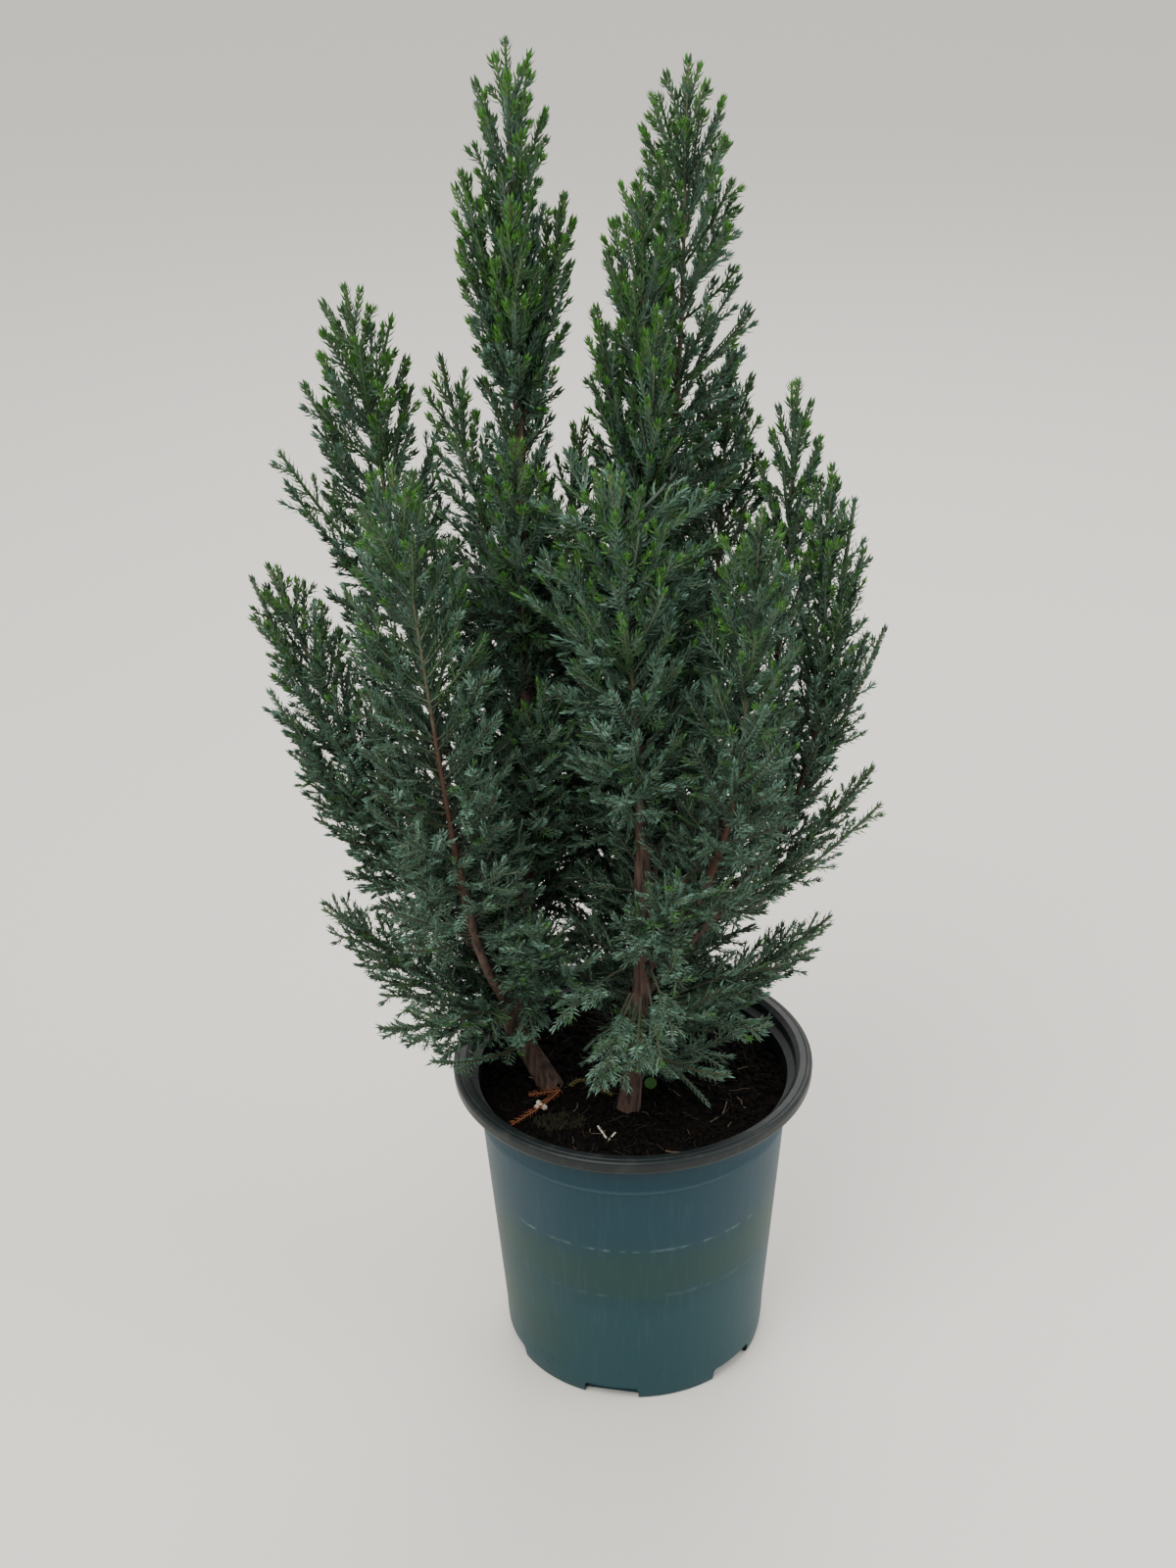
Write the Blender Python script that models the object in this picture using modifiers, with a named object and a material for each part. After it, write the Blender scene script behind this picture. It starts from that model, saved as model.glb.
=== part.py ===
"""Potted dwarf false cypress: a nursery pot, its soil, two stems, their boughs and the foliage they carry.

Metres, +Z up. The origin is the middle of the pot's flat underside, and the front of the plant faces -Y.
Every limb and every mass of foliage is one closed solid, 0.3 mm clear of what carries it.
"""

import math
import random

import bmesh
import bpy
import numpy as np
from mathutils import Matrix, Vector, noise
from mathutils.bvhtree import BVHTree

GAP = 0.0003  # between two pieces that touch
SEED = 20
CURVE_STEPS = 12  # points worked out between two named ones before a path is spaced evenly

# Pot: a thin tapered tub with a shoulder line, a rolled rim and six drain pockets round its foot.
POT_HEIGHT = 0.111
POT_WALL = 0.0011
POT_FLOOR = 0.0014
POT_STEPS = 30
RIM_RADIUS = 0.060
RIM_WIDTH = 0.0047
RIM_BAND = 0.0046
BODY_TOP_RADIUS = 0.0529
BODY_FOOT_RADIUS = 0.0455
FOOT_RADIUS = 0.0440
FOOT_HEIGHT = 0.012
SHOULDER_HEIGHT = 0.0925
SHOULDER_STEP = 0.0005
POCKETS = 6
POCKET_ANGLE = math.radians(-102.0)
POCKET_WIDTH = 0.0185
POCKET_HEIGHT = 0.0048
POCKET_DEPTH = 0.0042

# Soil: fills the pot to just under the rim.
SOIL_LEVEL = 0.1008
SOIL_RELIEF = 0.0016
SOIL_FLAT = 0.011  # the ground stays level this far round a stem

# Limbs: the radius falls evenly from foot to tip, and swells where a trunk meets the ground.
LIMB_SIDES = 8
BOUGH_SIDES = 6
LIMB_SPAN = 0.016
FLARE_HEIGHT = 0.0055
FLARE = 0.35
BOUGH_SHARE = 0.5  # a bough leaves with this share of the radius that its trunk has there
GROUND = SOIL_LEVEL + GAP

TRUNKS = {
    # name: (points from below the ground to the tip, foot radius, tip radius)
    "trunk_left": (
        [(-0.0262, -0.002, 0.096), (-0.0283, -0.0016, 0.101), (-0.0395, 0, 0.1235), (-0.0345, 0.001, 0.163),
         (-0.0315, 0, 0.26), (-0.0318, 0, 0.394)],
        0.0037, 0.0009,
    ),
    "trunk_right": (
        [(-0.0028, -0.0163, 0.096), (-0.0019, -0.0163, 0.101), (0.003, -0.015, 0.15), (0.0035, -0.011, 0.21),
         (0.0056, -0.002, 0.30), (0.0045, 0, 0.362)],
        0.0035, 0.0009,
    ),
}

# Boughs that rise as leaders of their own. Each leaves a trunk at a height, bends at an elbow and runs to the
# tip of its spire; the bough is the bare share of that way, and the spire's own stem goes on from there.
LEADERS = {
    # name: (trunk, height where it leaves, elbow, tip, bare share, widest reach, shoots)
    "front_left": ("trunk_left", 0.126, (-0.0520, -0.028, 0.190), (-0.0670, -0.030, 0.332), 0.34, 0.034, 8),
    "left": ("trunk_left", 0.134, (-0.0760, 0.003, 0.196), (-0.1080, 0.002, 0.289), 0.30, 0.028, 7),
    "rear_left": ("trunk_left", 0.150, (-0.0640, 0.019, 0.245), (-0.0815, 0.019, 0.369), 0.30, 0.033, 8),
    "front": ("trunk_right", 0.196, (0.0012, -0.031, 0.252), (-0.0057, -0.030, 0.330), 0.28, 0.032, 8),
    "rear_right": ("trunk_right", 0.262, (0.0150, 0.013, 0.336), (0.0182, 0.018, 0.432), 0.30, 0.032, 9),
    "right_inner": ("trunk_right", 0.176, (0.0250, 0.016, 0.250), (0.0310, 0.020, 0.347), 0.30, 0.028, 8),
    "right": ("trunk_right", 0.158, (0.0430, 0.007, 0.235), (0.0505, 0.012, 0.340), 0.32, 0.028, 8),
    "right_outer": ("trunk_right", 0.142, (0.0530, -0.006, 0.215), (0.0640, -0.005, 0.323), 0.42, 0.030, 8),
    "front_right": ("trunk_right", 0.150, (0.0285, -0.032, 0.215), (0.0375, -0.030, 0.317), 0.30, 0.030, 7),
    "back_left": ("trunk_left", 0.142, (-0.0370, 0.042, 0.205), (-0.0360, 0.050, 0.316), 0.28, 0.032, 6),
    "back": ("trunk_right", 0.132, (-0.0080, 0.046, 0.170), (-0.0100, 0.062, 0.262), 0.28, 0.032, 6),
    "back_right": ("trunk_right", 0.146, (0.0150, 0.038, 0.208), (0.0160, 0.052, 0.312), 0.28, 0.032, 6),
}

# Masses borne straight on a limb: a main shoot from that limb to its own furthest tip, and shoots off it.
SPRAYS = {
    # name: (limb, height where it leaves, tip, widest reach, shoots)
    "upper_left": ("trunk_left", 0.340, (-0.0455, 0.005, 0.405), 0.024, 4),
    "upper_right": ("trunk_left", 0.330, (-0.0170, 0.005, 0.398), 0.024, 4),
    "upper_front": ("trunk_left", 0.335, (-0.0315, -0.014, 0.402), 0.024, 4),
    "middle_left": ("trunk_left", 0.262, (-0.0540, 0.010, 0.350), 0.022, 5),
    "middle_right": ("trunk_left", 0.246, (-0.0120, 0.010, 0.330), 0.022, 5),
    "middle_front": ("trunk_left", 0.262, (-0.0325, -0.024, 0.336), 0.022, 4),
    "high_left": ("trunk_right", 0.296, (-0.0085, -0.003, 0.368), 0.022, 4),
    "high_front": ("trunk_right", 0.300, (0.0080, -0.016, 0.371), 0.022, 4),
    "high_rear": ("trunk_right", 0.276, (-0.0060, 0.015, 0.345), 0.018, 4),
    "inner_left": ("trunk_left", 0.190, (-0.0250, -0.026, 0.262), 0.022, 4),
    "inner_rear": ("trunk_left", 0.180, (-0.0200, 0.028, 0.250), 0.022, 4),
    "low_left_front": ("bough_front_left", 0.137, (-0.0800, -0.037, 0.148), 0.020, 4),
    "low_left_rim": ("trunk_left", 0.1165, (-0.0640, -0.034, 0.133), 0.016, 4),
    "low_left": ("trunk_left", 0.128, (-0.0985, -0.006, 0.176), 0.024, 5),
    "low_left_rear": ("trunk_left", 0.130, (-0.0760, 0.046, 0.200), 0.026, 5),
    "low_rear_left": ("trunk_left", 0.122, (-0.0400, 0.060, 0.160), 0.024, 4),
    "low_rear_right": ("trunk_right", 0.124, (0.0280, 0.062, 0.158), 0.024, 4),
    "side_left": ("bough_left", 0.168, (-0.1060, 0.010, 0.228), 0.020, 4),
    "side_rear_right": ("trunk_right", 0.138, (0.0560, 0.046, 0.222), 0.028, 5),
    "side_right": ("bough_right_outer", 0.168, (0.0800, -0.004, 0.222), 0.020, 4),
    "upper_side_right": ("bough_right_outer", 0.186, (0.0790, 0.004, 0.266), 0.020, 4),
    "low_right": ("trunk_right", 0.134, (0.0640, -0.004, 0.166), 0.022, 5),
    "low_right_rim": ("trunk_right", 0.118, (0.0460, 0.006, 0.121), 0.016, 4),
    "low_right_front": ("trunk_right", 0.126, (0.0290, -0.040, 0.130), 0.020, 4),
    "low_front": ("trunk_right", 0.140, (-0.0120, -0.046, 0.130), 0.020, 4),
    "front_between": ("trunk_left", 0.150, (-0.0290, -0.046, 0.190), 0.024, 5),
    "front_inner": ("trunk_right", 0.166, (0.0130, -0.050, 0.206), 0.024, 4),
    "low_between": ("trunk_left", 0.137, (-0.0130, -0.036, 0.172), 0.022, 4),
    "low_middle_left": ("trunk_left", 0.122, (-0.0360, -0.040, 0.146), 0.018, 3),
    "low_right_inner": ("trunk_right", 0.132, (0.0270, -0.036, 0.160), 0.020, 3),
}
LEADER_TIPS = {
    # name: (trunk, tip, widest reach, shoots)
    "top_left": ("trunk_left", (-0.0320, 0, 0.444), 0.032, 5),
    "top_right": ("trunk_right", (0.0044, 0, 0.408), 0.031, 5),
}

# Growth rule, the same for every mass.
GOLDEN_ANGLE = math.radians(137.5)
TIP_SHARE = 0.45  # a spire swells quickly to this share of its widest, half of it this far under the tip
TIP_HALF = 0.007
REACH_HALF = 0.12  # and slowly to the rest
SHOOT_ANGLE = math.radians(38)  # between a leader and the chord of its shoot
SHOOT_SAG = 0.13  # a shoot starts flatter and curves up
BRANCH_ANGLE = math.radians(42)
SHOOT_SHORTEST = 0.0095
STEM_BARE = 0.008  # no shoot leaves a stem nearer than this to the limb that bears it
STEM_RADIUS = 0.0014
TWIG_RADIUS = 0.0011
TIP_RADIUS = 0.0004
STAGE = 0.0107  # one whorl of needles, larger than life
NEEDLE = 0.0070  # how far a needle's point stands out
NEEDLE_LEAN = 0.0082  # and how far it leans forward
SPACE_MARGIN = 0.0007
LIMB_MARGIN = 0.0011
POT_MARGIN = 0.0012
SHORTER = (1.0, 0.8, 0.62, 0.46)  # a shoot that leaves its space is tried shorter, and then skipped

COLOURS = {
    # material: (colour, roughness)
    "pot_plastic": ((0.030, 0.082, 0.098, 1), 0.42),
    "soil": ((0.010, 0.008, 0.006, 1), 0.95),
    "bark": ((0.150, 0.062, 0.038, 1), 0.80),
    "foliage": ((0.050, 0.125, 0.085, 1), 0.62),
}


def clear_scene():
    for scene_object in list(bpy.data.objects):
        bpy.data.objects.remove(scene_object)


def make_material(name, kind):
    colour, roughness = COLOURS[kind]
    material = bpy.data.materials.new(name)
    material.use_nodes = True
    shader = material.node_tree.nodes["Principled BSDF"]
    shader.inputs["Base Color"].default_value = colour
    shader.inputs["Roughness"].default_value = roughness
    shader.inputs["Metallic"].default_value = 0.0
    return material


def link(scene_object, collection):
    collection.objects.link(scene_object)
    return scene_object


def object_from_bmesh(name, bm, collection):
    mesh = bpy.data.meshes.new(name)
    bm.to_mesh(mesh)
    bm.free()
    return link(bpy.data.objects.new(name, mesh), collection)


def evaluated_mesh(scene_object):
    depsgraph = bpy.context.evaluated_depsgraph_get()
    return bpy.data.meshes.new_from_object(scene_object.evaluated_get(depsgraph))


def apply_modifiers(scene_object):
    mesh = evaluated_mesh(scene_object)
    scene_object.modifiers.clear()
    scene_object.data = mesh


def hide_cutter(cutter):
    cutter.hide_render = True
    cutter.display_type = "WIRE"


def boolean(scene_object, operation, other):
    """Joins or cuts with another object, or with everything in a collection, and applies the result."""
    modifier = scene_object.modifiers.new(operation.title(), "BOOLEAN")
    modifier.operation = operation
    modifier.solver = "EXACT"
    if isinstance(other, bpy.types.Collection):
        modifier.operand_type = "COLLECTION"
        modifier.collection = other
    else:
        modifier.object = other
    apply_modifiers(scene_object)


# Curves


def smooth_path(points, span):
    """Points every `span` or so along a smooth curve through the given ones."""
    points = [Vector(p) for p in points]
    ends = [2 * points[0] - points[1], *points, 2 * points[-1] - points[-2]]
    dense = []
    for before, start, end, after in zip(ends, ends[1:], ends[2:], ends[3:]):
        turn = 2 * before - 5 * start + 4 * end - after
        swing = 3 * start - before - 3 * end + after
        for step in range(CURVE_STEPS):
            t = step / CURVE_STEPS
            dense.append(start + 0.5 * t * ((end - before) + turn * t + swing * t * t))
    dense.append(points[-1])
    return even_path(dense, span)


def even_path(dense, span):
    lengths = [0.0]
    for start, end in zip(dense, dense[1:]):
        lengths.append(lengths[-1] + (end - start).length)
    count = max(2, round(lengths[-1] / span))
    path = []
    segment = 0
    for step in range(count + 1):
        goal = lengths[-1] * step / count
        while segment < len(dense) - 2 and lengths[segment + 1] < goal:
            segment += 1
        along = (goal - lengths[segment]) / max(lengths[segment + 1] - lengths[segment], 1e-9)
        path.append(dense[segment].lerp(dense[segment + 1], along))
    return path


def arc_path(root, tip, span):
    """A shoot's way from root to tip: flatter at first, then rising."""
    chord = tip - root
    bend = root + 0.5 * chord - Vector((0, 0, SHOOT_SAG * chord.length))
    dense = []
    for step in range(CURVE_STEPS + 1):
        t = step / CURVE_STEPS
        dense.append((1 - t) ** 2 * root + 2 * t * (1 - t) * bend + t * t * tip)
    return even_path(dense, span)


def at_height(path, height):
    for start, end in zip(path, path[1:]):
        if min(start.z, end.z) <= height <= max(start.z, end.z):
            return start.lerp(end, (height - start.z) / (end.z - start.z))
    return path[-1].copy()


def along_path(path, distance):
    """The point that lies `distance` back from the path's end."""
    for end, start in zip(path[::-1], path[-2::-1]):
        length = (end - start).length
        if distance <= length:
            return end.lerp(start, distance / length)
        distance -= length
    return path[0].copy()


# Pot and soil


def body_radius(height):
    """Outside radius of the tub above its foot."""
    share = (height - FOOT_HEIGHT) / (POT_HEIGHT - RIM_BAND - FOOT_HEIGHT)
    radius = BODY_FOOT_RADIUS + (BODY_TOP_RADIUS - BODY_FOOT_RADIUS) * share
    return radius if height > SHOULDER_HEIGHT else radius - SHOULDER_STEP


def foot_profile(inset, floor):
    """From the shoulder down round the foot to the axis, moved in by `inset` and up to the floor."""
    profile = [
        (body_radius(SHOULDER_HEIGHT + 0.0008) - inset, SHOULDER_HEIGHT + 0.0004),
        (body_radius(SHOULDER_HEIGHT) - inset, SHOULDER_HEIGHT - 0.0004),
        (body_radius(FOOT_HEIGHT) - inset, FOOT_HEIGHT),
    ]
    drop = body_radius(FOOT_HEIGHT) - FOOT_RADIUS
    share = 0.6
    profile.append((body_radius(FOOT_HEIGHT) - drop * share ** 2 - inset, FOOT_HEIGHT * (1 - share)))
    profile.append((FOOT_RADIUS - inset, floor + 0.0008))
    profile.append((FOOT_RADIUS - 0.0008 - inset, floor))
    profile.append((0, floor))
    return profile


def turned(name, profile, collection):
    """A closed solid turned from a profile that runs from the axis at the top to the axis at the bottom."""
    bm = bmesh.new()
    verts = [bm.verts.new((radius, 0, height)) for radius, height in profile]
    for start, end in zip(verts, verts[1:]):
        bm.edges.new((start, end))
    turned_object = object_from_bmesh(name, bm, collection)
    screw = turned_object.modifiers.new("Turn", "SCREW")
    screw.steps = POT_STEPS
    screw.render_steps = POT_STEPS
    screw.use_merge_vertices = True
    screw.merge_threshold = 0.00001
    apply_modifiers(turned_object)
    return turned_object


def pocket_cutters(inset, cutters):
    """The drain pockets: low arches pressed into the foot, grown by `inset` for the inside of the wall."""
    collection = bpy.data.collections.new("pockets")
    cutters.children.link(collection)
    for number in range(POCKETS):
        angle = POCKET_ANGLE + number * math.tau / POCKETS
        bm = bmesh.new()
        bmesh.ops.create_cube(bm, size=1.0)
        depth = 2 * (POCKET_DEPTH + inset)
        height = 2 * (POCKET_HEIGHT + inset)
        width = POCKET_WIDTH + 2 * inset
        bmesh.ops.scale(bm, verts=bm.verts, vec=(depth, width, height))
        upper = [edge for edge in bm.edges if all(vert.co.z > 0 for vert in edge.verts)]
        top_edges = [edge for edge in upper if edge.verts[0].co.y * edge.verts[1].co.y > 0]
        bmesh.ops.bevel(
            bm, geom=top_edges, offset=0.0022 + inset, segments=3, profile=0.5, affect="EDGES", material=-1
        )
        turn = Matrix.Rotation(angle, 4, "Z") @ Matrix.Translation((FOOT_RADIUS + 0.0006, 0, 0))
        bmesh.ops.transform(bm, matrix=turn, verts=bm.verts)
        hide_cutter(object_from_bmesh(f"pocket_{number}", bm, collection))
    return collection


def make_pot(parts, cutters):
    rim_under = POT_HEIGHT - RIM_BAND
    lip = RIM_RADIUS - RIM_WIDTH
    outer = [
        (0, POT_HEIGHT),
        (RIM_RADIUS - 0.0014, POT_HEIGHT),
        (RIM_RADIUS, POT_HEIGHT - 0.0014),
        (RIM_RADIUS - 0.0003, rim_under + 0.0010),
        (RIM_RADIUS - 0.0014, rim_under),
        (BODY_TOP_RADIUS, rim_under - 0.0008),
        *foot_profile(0, 0),
    ]
    inner = [
        (0, POT_HEIGHT + 0.002),
        (lip + 0.0006, POT_HEIGHT + 0.002),
        (lip + 0.0006, POT_HEIGHT),
        (lip - 0.0008, POT_HEIGHT - 0.0012),
        (BODY_TOP_RADIUS - POT_WALL, rim_under - 0.0006),
        *foot_profile(POT_WALL, POT_FLOOR),
    ]
    pot = turned("pot", outer, parts)
    boolean(pot, "DIFFERENCE", pocket_cutters(0, cutters))
    hollow = turned("pot_hollow", inner, cutters)
    boolean(hollow, "DIFFERENCE", pocket_cutters(POT_WALL, cutters))
    hide_cutter(hollow)
    boolean(pot, "DIFFERENCE", hollow)
    pot.data.materials.append(make_material("pot_plastic", "pot_plastic"))
    pot.data.shade_smooth()
    pot.data.set_sharp_from_angle(angle=math.radians(35))


def make_soil(parts, feet):
    inset = POT_WALL + GAP
    over_pockets = POCKET_HEIGHT + inset
    between_pockets = FOOT_RADIUS - POCKET_DEPTH - inset
    profile = [(body_radius(SOIL_LEVEL) - inset) * share for share in (0, 0.35, 0.7, 1)]
    profile = [(radius, SOIL_LEVEL) for radius in profile]
    profile += foot_profile(inset, 0)[:2]
    profile.append((body_radius(over_pockets) - inset - 0.0012, over_pockets))
    profile.append((between_pockets, over_pockets))
    profile.append((between_pockets, POT_FLOOR + GAP))
    profile.append((0, POT_FLOOR + GAP))
    soil = turned("soil", profile, parts)
    for vert in soil.data.vertices:
        if vert.co.z < SOIL_LEVEL - 0.0001:
            continue
        near = min((vert.co.xy - foot.xy).length for foot in feet)
        share = min(1.0, max(0.0, near / SOIL_FLAT - 1))
        vert.co.z -= SOIL_RELIEF * share * (0.5 + 0.5 * noise.noise(vert.co * 70))
    soil.data.materials.append(make_material("soil", "soil"))


# Limbs


def limb_radius(foot, tip, share):
    return foot + (tip - foot) * share


def tube(name, path, radii, sides, collection):
    """A tapering limb along a path, as a closed mesh."""
    curve = bpy.data.curves.new(name, "CURVE")
    curve.dimensions = "3D"
    curve.bevel_depth = 1.0
    curve.bevel_resolution = sides // 2 - 2
    curve.use_fill_caps = True
    spline = curve.splines.new("POLY")
    spline.points.add(len(path) - 1)
    for point, place, radius in zip(spline.points, path, radii):
        point.co = (*place, 1)
        point.radius = radius
    guide = link(bpy.data.objects.new(name, curve), collection)
    mesh = evaluated_mesh(guide)
    bpy.data.objects.remove(guide)
    bm = bmesh.new()
    bm.from_mesh(mesh)
    bpy.data.meshes.remove(mesh)
    bmesh.ops.remove_doubles(bm, verts=bm.verts, dist=0.00001)
    bmesh.ops.recalc_face_normals(bm, faces=bm.faces)
    return object_from_bmesh(name, bm, collection)


def cut_level(limb, height):
    """Cuts a limb flat at a height and keeps what stands above."""
    bm = bmesh.new()
    bm.from_mesh(limb.data)
    geometry = [*bm.verts, *bm.edges, *bm.faces]
    bmesh.ops.bisect_plane(bm, geom=geometry, plane_co=(0, 0, height), plane_no=(0, 0, 1), clear_inner=True)
    rim = [e for e in bm.edges if e.is_boundary]
    bmesh.ops.edgeloop_fill(bm, edges=rim)
    bmesh.ops.recalc_face_normals(bm, faces=bm.faces)
    bm.to_mesh(limb.data)
    bm.free()


def grow_trunks(parts, cutters):
    limbs = {}
    for name, (points, foot, tip) in TRUNKS.items():
        knee = points[2][2]
        path = smooth_path(points[:3], LIMB_SPAN / 4)[:-1]
        path += [place for place in smooth_path(points, LIMB_SPAN) if place.z > knee]
        radii = []
        for place in path:
            height = max(0.0, place.z - GROUND)
            swell = 1 + FLARE * math.exp(-height / FLARE_HEIGHT)
            radii.append(limb_radius(foot, tip, height / (points[-1][2] - GROUND)) * swell)
        trunk = tube(name, path, radii, LIMB_SIDES, parts)
        cut_level(trunk, GROUND)
        finish_limb(trunk)
        limbs[name] = make_cutter(name, path, radii, LIMB_SIDES, cutters)
    return limbs


def finish_limb(limb):
    limb.data.materials.append(make_material(f"{limb.name}_bark", "bark"))
    limb.data.shade_smooth()
    limb.data.set_sharp_from_angle(angle=math.radians(50))


def make_cutter(name, path, radii, sides, cutters):
    """The limb grown by the gap, which cuts the saddle of whatever it carries."""
    cutter = tube(f"{name}_clear", path, [radius + GAP * 1.15 for radius in radii], sides, cutters)
    hide_cutter(cutter)
    return {"path": path, "radii": radii, "cutter": cutter}


def radius_at(limb, height):
    path, radii = limb["path"], limb["radii"]
    nearest = min(range(len(path)), key=lambda i: abs(path[i].z - height))
    return radii[nearest]


def grow_boughs(parts, cutters, limbs):
    """The bare boughs. Returns the rest of each leader's way, which its spire's stem follows."""
    ways = {}
    for name, (trunk, height, elbow, tip, bare, _, _) in LEADERS.items():
        root = at_height(limbs[trunk]["path"], height)
        way = smooth_path([root, elbow, tip], 0.004)
        split = round(bare * (len(way) - 1))
        path = even_path(way[: split + 1], LIMB_SPAN * 0.6)
        foot = radius_at(limbs[trunk], height) * BOUGH_SHARE
        radii = [limb_radius(foot, STEM_RADIUS * 1.1, i / (len(path) - 1)) for i in range(len(path))]
        bough = tube(f"bough_{name}", path, radii, BOUGH_SIDES, parts)
        boolean(bough, "DIFFERENCE", limbs[trunk]["cutter"])
        finish_limb(bough)
        limbs[bough.name] = make_cutter(bough.name, path, radii, BOUGH_SIDES, cutters)
        onward = (way[split + 1] - way[split]).normalized()
        ways[name] = [way[split] + onward * GAP, *way[split + 1:]]
    return ways


# Foliage


class Space:
    """Who owns a place: the mass whose stem is nearest to it, where it is clear of every limb and the pot."""

    def __init__(self, stems, limbs):
        starts, ends, owners = [], [], []
        for owner, stem in stems.items():
            for start, end in zip(stem, stem[1:]):
                starts.append(start)
                ends.append(end)
                owners.append(owner)
        self.stems = (np.array(starts), np.array(ends))
        self.owners = np.array(owners)
        starts, ends, radii = [], [], []
        for limb in limbs.values():
            for start, end, radius in zip(limb["path"], limb["path"][1:], limb["radii"]):
                starts.append(start)
                ends.append(end)
                radii.append(radius)
        self.limbs = (np.array(starts), np.array(ends))
        self.limb_radii = np.array(radii)

    @staticmethod
    def distances(segments, place):
        starts, ends = segments
        run = ends - starts
        along = ((place - starts) * run).sum(1) / (run * run).sum(1)
        nearest = starts + run * np.clip(along, 0, 1)[:, None]
        return np.linalg.norm(place - nearest, axis=1)

    def holds(self, owner, place):
        place = np.array(place)
        if place[2] < POT_HEIGHT + POT_MARGIN and not self.inside_pot(place):
            return False
        away = self.distances(self.stems, place)
        own = away[self.owners == owner].min()
        if own + SPACE_MARGIN > away[self.owners != owner].min():
            return False
        return (self.distances(self.limbs, place) - self.limb_radii).min() > LIMB_MARGIN

    @staticmethod
    def inside_pot(place):
        lip = RIM_RADIUS - RIM_WIDTH - 0.004
        return place[2] > SOIL_LEVEL + POT_MARGIN and math.hypot(place[0], place[1]) < lip


def turn_to(direction, roll):
    return direction.to_track_quat("Z", "Y").to_matrix().to_4x4() @ Matrix.Rotation(roll, 4, "Z")


def needle_twig(path, thick, thin, roll, allowed, bare=1):
    """A slim three-sided core along the path, whose sides are drawn out into needles where allowed."""
    bm = bmesh.new()
    length = (path[1] - path[0]).length
    bmesh.ops.create_cone(
        bm, cap_ends=True, cap_tris=False, segments=3, radius1=thick, radius2=thick, depth=length
    )
    end = max(bm.faces, key=lambda face: face.normal.z)
    frame = turn_to((path[1] - path[0]).normalized(), roll)
    place = Matrix.Translation(path[0]) @ frame @ Matrix.Translation((0, 0, length / 2))
    bmesh.ops.transform(bm, matrix=place, verts=bm.verts)
    stages = [[f for f in bm.faces if len(f.verts) == 4]]
    spans = [(path[0], path[1])]
    for number in range(2, len(path)):
        before, here = path[number - 1], path[number]
        share = number / (len(path) - 1)
        radius = thick + (thin - thick) * share
        end = bmesh.ops.extrude_discrete_faces(bm, faces=[end])["faces"][0]
        middle = end.calc_center_median()
        old = max((v.co - middle).length for v in end.verts)
        for vert in end.verts:
            vert.co = here + (vert.co - middle) * (radius / old)
        stages.append([face for edge in end.edges for face in edge.link_faces if face is not end])
        spans.append((before, here))
    for number, (sides, (before, here)) in enumerate(zip(stages, spans)):
        if number < bare:
            continue
        forward = (here - before).normalized()
        for side in sides:
            side.normal_update()
            middle = side.calc_center_median()
            point = middle + side.normal * NEEDLE + forward * NEEDLE_LEAN
            if allowed(point) and allowed(middle.lerp(point, 0.5)):
                poked = bmesh.ops.poke(bm, faces=[side])["verts"][0]
                poked.co = point
    bmesh.ops.recalc_face_normals(bm, faces=bm.faces)
    return bm


def reach_share(below):
    return TIP_SHARE * below / (below + TIP_HALF) + (1 - TIP_SHARE) * below / (below + REACH_HALF)


def shoots_of(stem, widest, count, rng):
    """The shoots of one stem: a root on it, and a tip on the outline that narrows to the stem's own tip."""
    length = sum((b - a).length for a, b in zip(stem, stem[1:]))
    turn = rng.uniform(0, math.tau)
    for number in range(count):
        below = length * (0.10 + 0.78 * (number + 0.5) / count)
        reach = widest * reach_share(below)
        middle = along_path(stem, below)
        root = along_path(stem, min(length - STEM_BARE, below + reach / math.tan(SHOOT_ANGLE)))
        upward = (middle - root).normalized() if (middle - root).length > 1e-6 else Vector((0, 0, 1))
        side = upward.orthogonal().normalized()
        side.rotate(Matrix.Rotation(turn + number * GOLDEN_ANGLE, 3, upward))
        yield root, middle + side * reach * rng.uniform(0.88, 1.08)


def grow_mass(name, stem, widest, count, space, taken, parts, carrier=None):
    """One mass: its stem, shoots off the stem and branchlets off the shoots, fused to one solid."""
    rng = random.Random(f"{SEED}{name}")

    def allowed(place):
        return space.holds(name, place)

    stem = even_path(stem, STAGE)
    bm = needle_twig(stem, STEM_RADIUS, TIP_RADIUS, rng.uniform(0, 2), allowed)
    taken.append((name, BVHTree.FromBMesh(bm)))
    mass = object_from_bmesh(name, bm, parts)
    if carrier is not None:
        boolean(mass, "DIFFERENCE", carrier)
    twigs = bpy.data.collections.new(f"{name}_twigs")
    bpy.context.scene.collection.children.link(twigs)
    shoots = []
    for root, tip in shoots_of(stem, widest, count, rng):
        shoot = add_twig(name, root, tip, rng, allowed, taken, twigs)
        if shoot:
            shoots.append(shoot)
    for shoot in shoots:
        length = (shoot[-1] - shoot[0]).length
        if length < 2.4 * SHOOT_SHORTEST:
            continue
        forward = (shoot[-1] - shoot[0]).normalized()
        side = forward.cross(Vector((0, 0, 1))).normalized() * rng.choice((-1, 1))
        heading = forward * math.cos(BRANCH_ANGLE) + side * math.sin(BRANCH_ANGLE)
        root = shoot[len(shoot) // 3]
        add_twig(name, root, root + heading * length * 0.5, rng, allowed, taken, twigs)
    boolean(mass, "UNION", twigs)
    for twig in list(twigs.objects):
        bpy.data.objects.remove(twig)
    bpy.data.collections.remove(twigs)
    mass.data.materials.append(make_material(f"{name}_foliage", "foliage"))


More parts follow.
